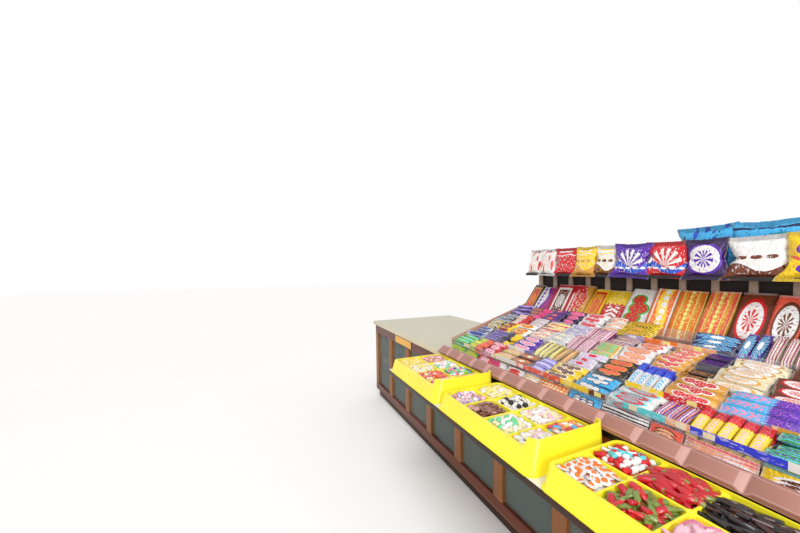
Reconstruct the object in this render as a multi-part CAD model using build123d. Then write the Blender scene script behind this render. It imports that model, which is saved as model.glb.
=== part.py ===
from build123d import *
from math import atan, degrees
import os

os.makedirs("parts", exist_ok=True)

# A confectionery shop counter. X runs along the counter, -Y is the customer side and +Z is up.
# The origin lies on the floor under the middle of the whole piece. Lengths are in millimetres.

# Counter body
counter_length = 3900.0
counter_depth = 1000.0
counter_height = 864.0
worktop_thickness = 34.0
edge_band_thickness = 6.0
post_width = 92.0
post_depth = 45.0
post_chamfer = 4.0
post_setback = 20.0
end_setback = 20.0
front_bay_count = 8
back_bay_count = 4
top_rail_height = 95.0
bottom_rail_height = 52.0
rail_bead_radius = 5.0
plinth_height = 80.0
plinth_board = 18.0
plinth_setback = 30.0
plinth_cross_count = 5
floor_board_thickness = 18.0
glass_thickness = 6.0
glass_clearance = 0.3
panel_thickness = 18.0
back_board_thickness = 12.0
inner_shelf_thickness = 16.0
inner_shelf_height = 430.0
cleat_size = 20.0

# Ledge for the sweet trays
ledge_projection = 400.0
ledge_drop = 74.0
ledge_thickness = 22.0
ledge_strip_thickness = 6.0
riser_thickness = 18.0
bracket_count = 5
bracket_reach = 300.0
bracket_drop = 210.0
bracket_width = 40.0
bracket_plate = 5.0
bracket_web_end = 22.0
display_length = 2160.0

# Chunky moulding along the worktop's front edge
chunk_count = 14
moulding_height = 48.0
moulding_depth = 62.0
moulding_overhang = 24.0
moulding_toe = 5.0
moulding_back_flat = 10.0
chunk_rise = 12.0
chunk_end_bevel = 22.0
chunk_side_bevel = 9.0

# Sweet trays
tray_count = 3
tray_far_gap = 32.0
tray_gap = 32.0
tray_foot = 4.0
tray_foot_thickness = 5.0
tray_front_clearance = 3.0
tray_depth = 367.0
tray_height = 115.0
tray_front_lean = 30.0
tray_end_lean = 10.0
tray_corner_radius = 36.0
tray_rim_wall = 6.0
tray_floor = 12.0
tray_divider_top = 66.0
tray_divider = 8.0
tray_side_height = 74.0
tray_shoulder = 18.0
tray_columns = 4
tray_rows = 2
pocket_corner = 9.0
pocket_draft = 4.0
sweets_clearance = 0.6
sweets_depth = 30.0
sweets_heap = 11.0
sweets_slope = 58.0

# Stepped display on the worktop
tier_count = 6
tier_rise = 40.5
tier_front_setback = 100.0
display_rear_clearance = 142.0
first_tread_height = 40.0
tread_thickness = 8.0
step_riser_thickness = 8.0
lip_height = 50.0
lip_thickness = 3.0
strip_height = 25.0
strip_thickness = 1.5
display_end_thickness = 12.0
display_end_margin = 6.0
stringer_thickness = 12.0
stringer_count = 2
display_back_thickness = 10.0

# Top shelf
top_shelf_clearance = 305.5
top_shelf_thickness = 18.0
top_shelf_depth = 200.0
top_shelf_edge_thickness = 4.0
shelf_slat_width = 35.0
shelf_slat_depth = 15.0
shelf_slat_first = 20.0
shelf_slat_setback = 120.0
shelf_slat_count = 14
rear_post_size = 35.0
rear_post_count = 5

# Packets and bags
packet_clearance = 1.0
seat_clearance = 0.3
packet_gap = 6.0
packet_front_rise = 46.0
packet_overlap = 14.0
divider_thickness = 2.0
divider_tiers = 2
block_foot = 34.0
block_head = 22.0
bag_height = 190.0
bag_thickness = 80.0
bag_seam = 8.0
bag_foot_taper = 10.0
bag_head_taper = 24.0
bag_foot_share = 0.8
bag_belly_share = 0.25
bag_shoulder_share = 0.7
bag_gap = 5.0
back_bag_height = 262.0
back_bag_thickness = 60.0
back_bag_width = 236.0
back_bag_start = 1160.0
back_bag_count = 2

# Width of each stack of packets from the far end, with how far its back rises above the tread.
tier_stacks = (
    (
        (185, 78), (185, 84), (140, 88), (150, 72), (150, 76), (110, 84),
        (190, 86), (175, 82), (200, 70), (115, 78), (205, 92), (200, 80),
        (96, 84),
    ),
    (
        (200, 88), (150, 94), (160, 100), (195, 96), (155, 104), (95, 98),
        (160, 92), (170, 98), (150, 116), (190, 96), (215, 98), (160, 90),
        (96, 98),
    ),
    (
        (170, 96), (150, 92), (185, 100), (150, 94), (170, 98), (160, 112),
        (150, 96), (165, 100), (150, 92), (90, 60), (180, 98), (150, 104), (150, 92),
        (96, 96),
    ),
    (
        (160, 88), (180, 94), (150, 90), (190, 84), (160, 92), (150, 104),
        (150, 78), (160, 74), (150, 72), (100, 76), (180, 78), (170, 92), (120, 104),
        (96, 90),
    ),
    (
        (180, 110), (190, 104), (160, 112), (130, 118), (170, 120), (110, 114),
        (200, 106), (150, 34), (190, 96), (90, 128), (130, 132), (120, 134), (130, 130),
        (96, 112),
    ),
    (
        (110, 226), (150, 214), (165, 238), (165, 238), (120, 222), (160, 216), (150, 236),
        (130, 242), (130, 240), (130, 246), (130, 246), (110, 240), (110, 236), (110, 240), (120, 232),
        (96, 228),
    ),
)
bag_widths = (150.0, 150.0, 180.0, 165.0, 150.0, 205.0, 215.0, 170.0, 205.0, 185.0, 205.0, 130.0)

# Levels and planes that follow from the sizes above
total_depth = counter_depth + ledge_projection
y_back = total_depth / 2
y_face = y_back - counter_depth
y_ledge_front = y_face - ledge_projection
y_posts = y_face + post_setback
x_end = counter_length / 2
x_frame = x_end - end_setback
x_display = x_end - display_length
ledge_top = counter_height - ledge_drop
z_floor_board = plinth_height + floor_board_thickness
z_post_foot = z_floor_board + bottom_rail_height
z_worktop_under = counter_height - worktop_thickness
z_post_head = z_worktop_under - top_rail_height
trays_room = display_length - tray_far_gap - (tray_count - 1) * tray_gap
tray_length = trays_room / tray_count - 2 * tray_foot
tray_pitch = tray_length + 2 * tray_foot + tray_gap
y_tiers = y_face + tier_front_setback
y_step_back = y_back - display_rear_clearance
tier_depth = (y_step_back - y_tiers - step_riser_thickness) / tier_count
z_first_tread = counter_height + first_tread_height
z_last_tread = z_first_tread + (tier_count - 1) * tier_rise
top_shelf_height = z_last_tread + top_shelf_clearance
y_top_shelf = y_back - top_shelf_depth
z_top_shelf = top_shelf_height + top_shelf_thickness
y_slats = y_top_shelf + shelf_slat_setback


def save(name, solids):
    """Write one sub-part as a STEP file."""
    shape = solids[0] if len(solids) == 1 else Compound(children=list(solids))
    shape.label = name
    export_step(shape, f"parts/{name}.step")


def board(x_range, y_range, z_range):
    """A square-edged board that fills three ranges."""
    ranges = (x_range, y_range, z_range)
    sizes = [high - low for low, high in ranges]
    middles = [(high + low) / 2 for low, high in ranges]
    return Pos(*middles) * Box(*sizes)


def along_x(points, x_range):
    """A bar whose YZ outline runs from one X to another."""
    outline = make_face(Polyline(*[(x_range[0], y, z) for y, z in points], close=True))
    return extrude(outline, amount=x_range[1] - x_range[0], dir=(1, 0, 0))


def spaced(count, low, high):
    """Evenly spaced values from low to high, both included."""
    return [low + (high - low) * i / (count - 1) for i in range(count)]


def front_post_centres():
    half = post_width / 2
    return spaced(front_bay_count + 1, -x_frame + half, x_frame - half)


def back_post_centres():
    half = post_width / 2
    return spaced(back_bay_count + 1, -x_frame + half, x_frame - half)


def make_plinth():
    x_limit = x_frame - plinth_setback
    y_front = y_posts + plinth_setback
    y_rear = y_back - plinth_setback
    z_range = (0, plinth_height)
    front = board((-x_limit, x_limit), (y_front, y_front + plinth_board), z_range)
    rear = board((-x_limit, x_limit), (y_rear - plinth_board, y_rear), z_range)
    save("plinth_rails", [front, rear])
    cross_y = (y_front + plinth_board, y_rear - plinth_board)
    half = plinth_board / 2
    centres = spaced(plinth_cross_count, -x_limit + half, x_limit - half)
    save("plinth_cross_boards", [board((x - half, x + half), cross_y, z_range) for x in centres])


def make_floor_board():
    floor = board((-x_frame, x_frame), (y_posts, y_back), (plinth_height, z_floor_board))
    save("floor_board", [floor])


def make_front_frame():
    y_range = (y_posts, y_posts + post_depth)
    bottom = board((-x_frame, x_frame), y_range, (z_floor_board, z_post_foot))
    front_top_edge = bottom.edges().filter_by(Axis.X).group_by(Axis.Y)[0].sort_by(Axis.Z)[-1]
    save("front_bottom_rail", [fillet(front_top_edge, rail_bead_radius)])
    top = board((-x_frame, x_frame), y_range, (z_post_head, z_worktop_under))
    front_low_edge = top.edges().filter_by(Axis.X).group_by(Axis.Y)[0].sort_by(Axis.Z)[0]
    save("front_top_rail", [fillet(front_low_edge, rail_bead_radius)])
    posts = []
    for x in front_post_centres():
        post = board((x - post_width / 2, x + post_width / 2), y_range, (z_post_foot, z_post_head))
        posts.append(chamfer(post.edges().filter_by(Axis.Z), post_chamfer))
    save("front_posts", posts)


def make_front_glass():
    centres = front_post_centres()
    y_middle = y_posts + post_depth / 2
    y_range = (y_middle - glass_thickness / 2, y_middle + glass_thickness / 2)
    z_range = (z_post_foot, z_post_head - glass_clearance)
    margin = post_width / 2 + glass_clearance
    bays = zip(centres[:-1], centres[1:])
    save("front_glass", [board((low + margin, high - margin), y_range, z_range) for low, high in bays])


def make_carcass():
    z_range = (z_floor_board, z_worktop_under)
    y_front = y_posts + post_depth
    y_rear = y_back - post_depth
    far = board((-x_frame, -x_frame + panel_thickness), (y_front, y_rear), z_range)
    near = board((x_frame - panel_thickness, x_frame), (y_front, y_rear), z_range)
    save("end_panels", [far, near])
    half = post_width / 2
    back_posts = [board((x - half, x + half), (y_rear, y_back), z_range) for x in back_post_centres()]
    save("back_posts", back_posts)
    y_middle = y_back - post_depth / 2
    y_boards = (y_middle - back_board_thickness / 2, y_middle + back_board_thickness / 2)
    bays = zip(back_post_centres()[:-1], back_post_centres()[1:])
    save("back_boards", [board((low + half, high - half), y_boards, z_range) for low, high in bays])


def inner_walls():
    """X ranges of the partitions inside the counter, one at each inner back post."""
    half = panel_thickness / 2
    return [(x - half, x + half) for x in back_post_centres()[1:-1]]


def make_inside():
    z_range = (z_floor_board, z_worktop_under)
    y_range = (y_posts + post_depth, y_back - post_depth)
    save("inner_partitions", [board(x_range, y_range, z_range) for x_range in inner_walls()])
    faces = [-x_frame + panel_thickness]
    for low, high in inner_walls():
        faces += [low, high]
    faces.append(x_frame - panel_thickness)
    z_shelf = (inner_shelf_height, inner_shelf_height + inner_shelf_thickness)
    bays = list(zip(faces[0::2], faces[1::2]))
    save("inner_shelves", [board(bay, y_range, z_shelf) for bay in bays])
    z_cleat = (inner_shelf_height - cleat_size, inner_shelf_height)
    cleats = []
    for low, high in bays:
        cleats.append(board((low, low + cleat_size), y_range, z_cleat))
        cleats.append(board((high - cleat_size, high), y_range, z_cleat))
    save("shelf_cleats", cleats)


def make_worktop():
    z_range = (z_worktop_under, counter_height)
    y_front = y_face + edge_band_thickness
    save("worktop", [board((-x_end, x_end), (y_front, y_back), z_range)])
    band = board((-x_end, x_display), (y_face, y_front), z_range)
    save("worktop_edge_band", [band])
    dark = board((x_display, x_end), (y_face, y_front), z_range)
    save("dark_edge_strip", [dark])


def make_ledge():
    x_range = (x_display, x_end)
    z_range = (ledge_top - ledge_thickness, ledge_top)
    y_front = y_ledge_front + ledge_strip_thickness
    save("ledge_board", [board(x_range, (y_front, y_posts), z_range)])
    save("ledge_edge_strip", [board(x_range, (y_ledge_front, y_front), z_range)])
    riser = board(x_range, (y_posts - riser_thickness, y_posts), (ledge_top, z_worktop_under))
    save("ledge_riser", [riser])


def bracket(x):
    """A folded bracket: a wall plate, a top plate and a sloping web between them."""
    z_top = ledge_top - ledge_thickness
    y_wall = y_posts
    outline = [
        (y_wall, z_top),
        (y_wall - bracket_reach, z_top),
        (y_wall - bracket_reach, z_top - bracket_web_end),
        (y_wall - bracket_web_end, z_top - bracket_drop),
        (y_wall, z_top - bracket_drop),
    ]
    web = along_x(outline, (x - bracket_plate / 2, x + bracket_plate / 2))
    half = bracket_width / 2
    x_range = (x - half, x + half)
    wall_plate = board(x_range, (y_wall - bracket_plate, y_wall), (z_top - bracket_drop, z_top))
    top_plate = board(x_range, (y_wall - bracket_reach, y_wall), (z_top - bracket_plate, z_top))
    return web + wall_plate + top_plate


def make_brackets():
    posts_under_ledge = [x for x in front_post_centres() if x > x_display + bracket_width]
    save("ledge_brackets", [bracket(x) for x in posts_under_ledge[:bracket_count]])


def make_moulding():
    """A bar with a sloping face that carries a row of bevelled chunks."""
    y_toe = y_face - moulding_overhang
    y_rear = y_toe + moulding_depth
    z_low = counter_height
    z_high = counter_height + moulding_height
    low = Vector(0, y_toe, z_low + moulding_toe)
    high = Vector(0, y_rear - moulding_back_flat, z_high)
    toe = (y_toe + moulding_toe, z_low)
    outline = [toe, (low.Y, low.Z), (high.Y, high.Z), (y_rear, z_high), (y_rear, z_low)]
    bar = along_x(outline, (x_display, x_end))
    slope = high - low
    outward = Vector(1, 0, 0).cross(slope).normalized()
    pitch = display_length / chunk_count
    for i in range(chunk_count):
        centre = Vector(x_display + (i + 0.5) * pitch, 0, 0) + (low + high) * 0.5
        seat = Plane(origin=centre, x_dir=(1, 0, 0), z_dir=outward)
        root = seat * Rectangle(pitch, slope.length)
        crown_plane = seat.offset(chunk_rise)
        crown = crown_plane * Rectangle(pitch - 2 * chunk_end_bevel, slope.length - 2 * chunk_side_bevel)
        bar += loft([root.face(), crown.face()])
    save("chunk_moulding", [bar])


def tray_start(index):
    """X of a tray's far end; the last tray ends where the ledge ends."""
    return x_end - tray_foot - tray_length - (tray_count - 1 - index) * tray_pitch


def tray_levels():
    """Y of the tray body's front and back at its foot, and of its front at the rim."""
    y_front = y_ledge_front + tray_front_clearance + tray_foot
    return y_front, y_front + tray_depth, y_front + tray_front_lean


def rounded_plate(x_range, y_range, z, radius):
    centre = Pos((x_range[0] + x_range[1]) / 2, (y_range[0] + y_range[1]) / 2, z)
    return centre * RectangleRounded(x_range[1] - x_range[0], y_range[1] - y_range[0], radius)


def cornered_plate(x_range, y_range, z):
    """A rectangle with its four corners cut off, for the pockets and what lies in them."""
    centre = Pos((x_range[0] + x_range[1]) / 2, (y_range[0] + y_range[1]) / 2, z)
    plate = Rectangle(x_range[1] - x_range[0], y_range[1] - y_range[0])
    return centre * chamfer(plate.vertices(), pocket_corner)


def pocket_ranges(index):
    """X and Y ranges of a tray's pockets at the level of the dividers."""
    x_low = tray_start(index) + tray_end_lean + tray_rim_wall
    x_high = tray_start(index) + tray_length - tray_end_lean - tray_rim_wall
    y_low = tray_levels()[2] + tray_rim_wall
    y_high = tray_levels()[1] - tray_rim_wall
    width = (x_high - x_low - (tray_columns - 1) * tray_divider) / tray_columns
    depth = (y_high - y_low - (tray_rows - 1) * tray_divider) / tray_rows
    ranges = []
    for column in range(tray_columns):
        x = x_low + column * (width + tray_divider)
        for row in range(tray_rows):
            y = y_low + row * (depth + tray_divider)
            ranges.append(((x, x + width), (y, y + depth)))
    return ranges


def shrunk(limits, margin):
    return (limits[0] + margin, limits[1] - margin)


def make_tray(index):
    """A moulded tray with leaning walls, a grid of pockets and a taller wall at its near end."""
    x_low = tray_start(index)
    x_high = x_low + tray_length
    y_low, y_high, y_rim = tray_levels()
    z_foot = ledge_top
    z_body = ledge_top + tray_foot_thickness
    z_rim = ledge_top + tray_height
    foot_x = (x_low - tray_foot, x_high + tray_foot)
    foot_y = (y_low - tray_foot, y_high + tray_foot)
    foot = extrude(rounded_plate(foot_x, foot_y, z_foot, tray_corner_radius), amount=tray_foot_thickness)
    base = rounded_plate((x_low, x_high), (y_low, y_high), z_body, tray_corner_radius)
    rim_x = shrunk((x_low, x_high), tray_end_lean)
    rim = rounded_plate(rim_x, (y_rim, y_high), z_rim, tray_corner_radius)
    tray = foot + loft([base.face(), rim.face()])
    z_divider = ledge_top + tray_divider_top
    pocket_depth = tray_divider_top - tray_floor
    pocket_slope = degrees(atan(pocket_draft / pocket_depth))
    well_x = shrunk(rim_x, tray_rim_wall)
    well_y = shrunk((y_rim, y_high), tray_rim_wall)
    well = rounded_plate(well_x, well_y, z_divider, tray_corner_radius - tray_rim_wall)
    tray -= extrude(well, amount=tray_height)
    for x_range, y_range in pocket_ranges(index):
        mouth = cornered_plate(x_range, y_range, z_divider)
        tray -= extrude(mouth, amount=-pocket_depth, taper=pocket_slope)
    z_side = ledge_top + tray_side_height
    z_above = z_rim + tray_shoulder
    x_wall = rim_x[1] - tray_corner_radius
    x_clear = x_low - 2 * tray_foot
    slope = [(x_wall - tray_shoulder, z_side), (x_wall, z_rim)]
    scoop = [(x_clear, z_above), (x_clear, z_side), *slope, (x_wall, z_above)]
    y_clear = y_low - 2 * tray_foot
    outline = make_face(Polyline(*[(x, y_clear, z) for x, z in scoop], close=True))
    tray -= extrude(outline, amount=tray_depth + 4 * tray_foot, dir=(0, 1, 0))
    save(f"sweet_tray_{index + 1}", [tray])


def make_sweets(index):
    """A heap in each pocket, with a flatter crown on top."""
    heaps = []
    z_seat = ledge_top + tray_floor + seat_clearance
    z_edge = z_seat + sweets_depth
    for x_range, y_range in pocket_ranges(index):
        margin = pocket_draft + sweets_clearance
        low_x = shrunk(x_range, margin)
        low_y = shrunk(y_range, margin)
        body = extrude(cornered_plate(low_x, low_y, z_seat), amount=sweets_depth)
        edge = cornered_plate(low_x, low_y, z_edge)
        heaps.append(body + extrude(edge, amount=sweets_heap, taper=sweets_slope))
    save(f"sweets_{index + 1}", heaps)


def tier(k):
    """Front Y and tread level of one tier of the display."""
    return y_tiers + k * tier_depth, z_first_tread + k * tier_rise


def inside_display():
    return (x_display + display_end_thickness, x_end - display_end_thickness)


def make_steps():
    treads = []
    risers = []
    for k in range(tier_count):
        y, z = tier(k)
        y_rear = y + tier_depth + step_riser_thickness
        treads.append(board(inside_display(), (y, y_rear), (z - tread_thickness, z)))
        riser_y = (y, y + step_riser_thickness)
        z_foot = counter_height if k == 0 else z - tier_rise
        risers.append(board(inside_display(), riser_y, (z_foot, z - tread_thickness)))
    save("step_treads", treads)
    save("step_risers", risers)
    outline = [(y_tiers + step_riser_thickness, counter_height)]
    for k in range(tier_count):
        y, z = tier(k)
        outline.append((y + step_riser_thickness, z - tread_thickness))
        outline.append((y + tier_depth + step_riser_thickness, z - tread_thickness))
    outline.append((y_step_back, counter_height))
    low, high = inside_display()
    places = spaced(stringer_count + 2, low, high)[1:-1]
    half = stringer_thickness / 2
    save("step_stringers", [along_x(outline, (x - half, x + half)) for x in places])


def make_display_ends():
    y_front = y_tiers - lip_thickness - strip_thickness
    z_front = z_first_tread + lip_height + display_end_margin
    z_rear = z_front + tier_count * tier_rise
    front = [(y_front, counter_height), (y_front, z_front)]
    outline = front + [(y_step_back, z_rear), (y_step_back, counter_height)]
    far = along_x(outline, (x_display, x_display + display_end_thickness))
    near = along_x(outline, (x_end - display_end_thickness, x_end))
    save("display_end_panels", [far, near])


def make_lips():
    lips = []
    strips = []
    for k in range(tier_count):
        y, z = tier(k)
        y_lip = y - lip_thickness
        z_top = z + lip_height
        lips.append(board(inside_display(), (y_lip, y), (z - tread_thickness, z_top)))
        strip_y = (y_lip - strip_thickness, y_lip)
        strips.append(board(inside_display(), strip_y, (z_top - strip_height, z_top)))
    save("clear_lips", lips)
    save("price_strips", strips)


def make_display_back():
    """A dark board behind the slats, from the worktop up to the top shelf."""
    y_front = y_slats + shelf_slat_depth
    y_range = (y_front, y_front + display_back_thickness)
    save("display_back", [board((x_display, x_end), y_range, (counter_height, top_shelf_height))])


def make_top_shelf():
    x_range = (x_display, x_end)
    z_range = (top_shelf_height, z_top_shelf)
    save("top_shelf", [board(x_range, (y_top_shelf, y_back), z_range)])
    edge_y = (y_top_shelf - top_shelf_edge_thickness, y_top_shelf)
    save("top_shelf_edge", [board(x_range, edge_y, z_range)])
    half = shelf_slat_width / 2
    margin = shelf_slat_first + half
    places = spaced(shelf_slat_count, x_display + margin, x_end - margin)
    y_front = (y_slats, y_slats + shelf_slat_depth)
    z_range = (counter_height, top_shelf_height)
    posts = [board((x - half, x + half), y_front, z_range) for x in places]
    half = rear_post_size / 2
    margin = shelf_slat_first + half
    places = spaced(rear_post_count, x_display + margin, x_end - margin)
    y_rear = (y_back - rear_post_size, y_back)
    posts += [board((x - half, x + half), y_rear, z_range) for x in places]
    save("shelf_posts", posts)


def share_out(widths, low, high, gap):
    """X ranges of things of given widths that together fill a length, with a gap beside each."""
    factor = (high - low - (len(widths) + 1) * gap) / sum(widths)
    x = low + gap
    ranges = []
    for width in widths:
        ranges.append((x, x + width * factor))
        x += width * factor + gap
    return ranges


def stack_ranges(k):
    low, high = inside_display()
    return share_out([width for width, rise in tier_stacks[k]], low, high, packet_gap)


def packet_stack(k, x_range, back_rise):
    """Two leaning stacks of packets, the rear one lapping over the front one."""
    y, z = tier(k)
    y_low = y + packet_clearance
    y_high = tier(k + 1)[0] - lip_thickness - strip_thickness - packet_clearance
    y_middle = (y_low + y_high) / 2
    z_low = z + seat_clearance
    z_front = z + min(packet_front_rise, back_rise - packet_overlap)
    z_back = z + back_rise
    z_middle = (z_front + z_back - packet_overlap) / 2
    front = [(y_low, z_low), (y_low, z_front), (y_middle, z_middle)]
    rear = [(y_middle, z_middle + packet_overlap), (y_high, z_back), (y_high, z_low)]
    return along_x(front + rear, x_range)


def leaning_block(x_range, rise):
    """A pair of large blocks that stand on the last tread and lean back on the slats."""
    y, z = tier(tier_count - 1)
    y_low = y + packet_clearance
    y_high = y_slats - packet_clearance
    z_low = z + seat_clearance
    head = [(y_high - block_head, z + rise), (y_high, z + rise)]
    outline = [(y_low, z_low), *head, (y_low + block_foot, z_low)]
    return along_x(outline, x_range)


def make_packets():
    for k in range(tier_count):
        pairs = zip(stack_ranges(k), tier_stacks[k])
        if k == tier_count - 1:
            stacks = [leaning_block(x_range, rise) for x_range, (width, rise) in pairs]
        else:
            stacks = [packet_stack(k, x_range, rise) for x_range, (width, rise) in pairs]
        save(f"packets_tier_{k + 1}", stacks)


def make_dividers():
    """Clear plates between the stacks of the lowest tiers."""
    plates = []
    for k in range(divider_tiers):
        y, z = tier(k)
        y_range = (y, y + tier_depth - lip_thickness)
        ranges = stack_ranges(k)
        for before, after in zip(ranges[:-1], ranges[1:]):
            x = (before[1] + after[0]) / 2
            half = divider_thickness / 2
            plates.append(board((x - half, x + half), y_range, (z, z + lip_height)))
    save("clear_dividers", plates)


def bag(x_range, y_middle, height, thickness):
    """A filled bag: it sags to a wide belly and closes to a thin seam at its top."""
    x_middle = (x_range[0] + x_range[1]) / 2
    width = x_range[1] - x_range[0]
    levels = (
        (0, width - bag_foot_taper, thickness * bag_foot_share),
        (height * bag_belly_share, width, thickness),
        (height * bag_shoulder_share, width - bag_foot_taper, thickness * bag_foot_share),
        (height, width - bag_head_taper, bag_seam),
    )
    z_foot = z_top_shelf + seat_clearance
    near_side = [(y_middle + deep / 2, z_foot + rise) for rise, across, deep in levels]
    far_side = [(y_middle - deep / 2, z_foot + rise) for rise, across, deep in levels]
    from_the_side = along_x(near_side + far_side[::-1], x_range)
    right = [(x_middle + across / 2, z_foot + rise) for rise, across, deep in levels]
    left = [(x_middle - across / 2, z_foot + rise) for rise, across, deep in levels]
    y_front = y_middle - thickness / 2
    outline = make_face(Polyline(*[(x, y_front, z) for x, z in right + left[::-1]], close=True))
    return from_the_side & extrude(outline, amount=thickness, dir=(0, 1, 0))


def make_bags():
    y_middle = y_top_shelf + bag_thickness / 2 + bag_gap
    ranges = share_out(bag_widths, x_display, x_end, bag_gap)
    bags = [bag(x_range, y_middle, bag_height, bag_thickness) for x_range in ranges]
    y_middle += bag_thickness / 2 + bag_gap + back_bag_thickness / 2
    for i in range(back_bag_count):
        x = x_display + back_bag_start + i * (back_bag_width + bag_gap)
        bags.append(bag((x, x + back_bag_width), y_middle, back_bag_height, back_bag_thickness))
    save("shelf_bags", bags)


make_plinth()
make_floor_board()
make_front_frame()
make_front_glass()
make_carcass()
make_inside()
make_worktop()
make_ledge()
make_brackets()
make_moulding()
for tray_index in range(tray_count):
    make_tray(tray_index)
    make_sweets(tray_index)
make_steps()
make_display_ends()
make_lips()
make_display_back()
make_top_shelf()
make_packets()
make_dividers()
make_bags()
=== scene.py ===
"""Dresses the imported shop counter: woodwork, glass, trays of sweets, packets and bags, and its stage."""

import math
import random

import bmesh
import bpy
from bpy.props import FloatProperty, FloatVectorProperty, IntProperty, PointerProperty
from mathutils import Matrix, Vector


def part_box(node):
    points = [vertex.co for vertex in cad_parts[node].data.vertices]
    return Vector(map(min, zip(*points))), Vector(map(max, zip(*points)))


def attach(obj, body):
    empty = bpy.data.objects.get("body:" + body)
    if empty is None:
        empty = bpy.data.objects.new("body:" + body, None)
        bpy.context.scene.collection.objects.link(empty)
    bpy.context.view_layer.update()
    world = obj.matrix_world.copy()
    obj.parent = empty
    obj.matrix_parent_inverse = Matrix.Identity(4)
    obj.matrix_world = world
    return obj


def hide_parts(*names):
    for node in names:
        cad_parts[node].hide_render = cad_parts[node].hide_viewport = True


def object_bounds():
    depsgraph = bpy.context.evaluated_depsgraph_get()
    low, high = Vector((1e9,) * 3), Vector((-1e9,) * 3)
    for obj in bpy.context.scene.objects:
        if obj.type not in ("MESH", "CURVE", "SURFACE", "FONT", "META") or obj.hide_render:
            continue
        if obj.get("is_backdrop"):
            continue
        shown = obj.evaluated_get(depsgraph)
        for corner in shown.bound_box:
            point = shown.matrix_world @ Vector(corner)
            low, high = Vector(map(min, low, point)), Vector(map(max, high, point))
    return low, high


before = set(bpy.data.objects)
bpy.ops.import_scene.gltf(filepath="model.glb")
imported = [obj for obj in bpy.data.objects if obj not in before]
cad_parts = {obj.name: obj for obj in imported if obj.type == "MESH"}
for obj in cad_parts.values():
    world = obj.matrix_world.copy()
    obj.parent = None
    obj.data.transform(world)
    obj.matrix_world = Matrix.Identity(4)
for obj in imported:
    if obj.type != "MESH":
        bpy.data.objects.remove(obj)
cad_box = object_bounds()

bl_info = {
    "name": "Sweet shop counter",
    "version": (1, 0, 0),
    "blender": (4, 5, 0),
    "location": "3D View > Sidebar > Counter",
    "description": "Builds the looks of a shop counter with sweet trays and a stepped packet display",
    "category": "Add Mesh",
}

MERGE_DISTANCE = 0.00002
SHARP_EDGE = math.radians(32)
FLAT_ANGLE = math.radians(0.4)
QUARTER_TURN = math.pi / 2
PRINT_LAYOUTS = (
    "band", "oval", "sweep", "lozenges", "stripes", "halves", "panel", "burst",
    "sash", "base", "scatter", "ovals",
)


def linear(red, green, blue):
    """A screen colour, 0 to 255, as the linear colour that Blender mixes."""
    def channel(value):
        value /= 255
        return value / 12.92 if value <= 0.04045 else ((value + 0.055) / 1.055) ** 2.4
    return (channel(red), channel(green), channel(blue))


# The paints of the goods, as screen colours from 0 to 255.
SCREEN_PAINTS = {
    "white": (243, 240, 238), "cream": (243, 229, 190), "pale_yellow": (246, 232, 130),
    "yellow": (255, 214, 28), "gold": (222, 156, 52), "tan": (202, 150, 96),
    "orange": (246, 122, 34), "peach": (241, 176, 136), "red": (214, 26, 36),
    "coral": (238, 96, 74), "pink": (242, 140, 176), "pale_pink": (248, 196, 208),
    "rose": (226, 50, 128), "magenta": (172, 40, 118), "lavender": (184, 164, 220),
    "purple": (92, 40, 170), "plum": (52, 22, 84), "blue": (36, 84, 200), "royal": (50, 66, 220),
    "navy": (20, 34, 84), "sky": (70, 182, 238), "cyan": (96, 212, 222), "teal": (24, 152, 166),
    "mint": (110, 216, 150), "green": (64, 170, 62), "lime": (166, 214, 44), "brown": (112, 54, 30),
    "cocoa": (62, 30, 20), "black": (26, 20, 22), "silver": (196, 200, 208),
    "grey": (146, 150, 158), "blush": (206, 152, 142), "taupe": (150, 106, 92),
    "olive": (122, 142, 62), "deep_red": (196, 14, 36),
}
PAINTS = {name: linear(*screen) for name, screen in SCREEN_PAINTS.items()}
# Painted shade, multiplied into a packet's film towards its folded edges, where the film curves away.
FOLD_SHADOW = (0.3, 0.28, 0.3)

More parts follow.
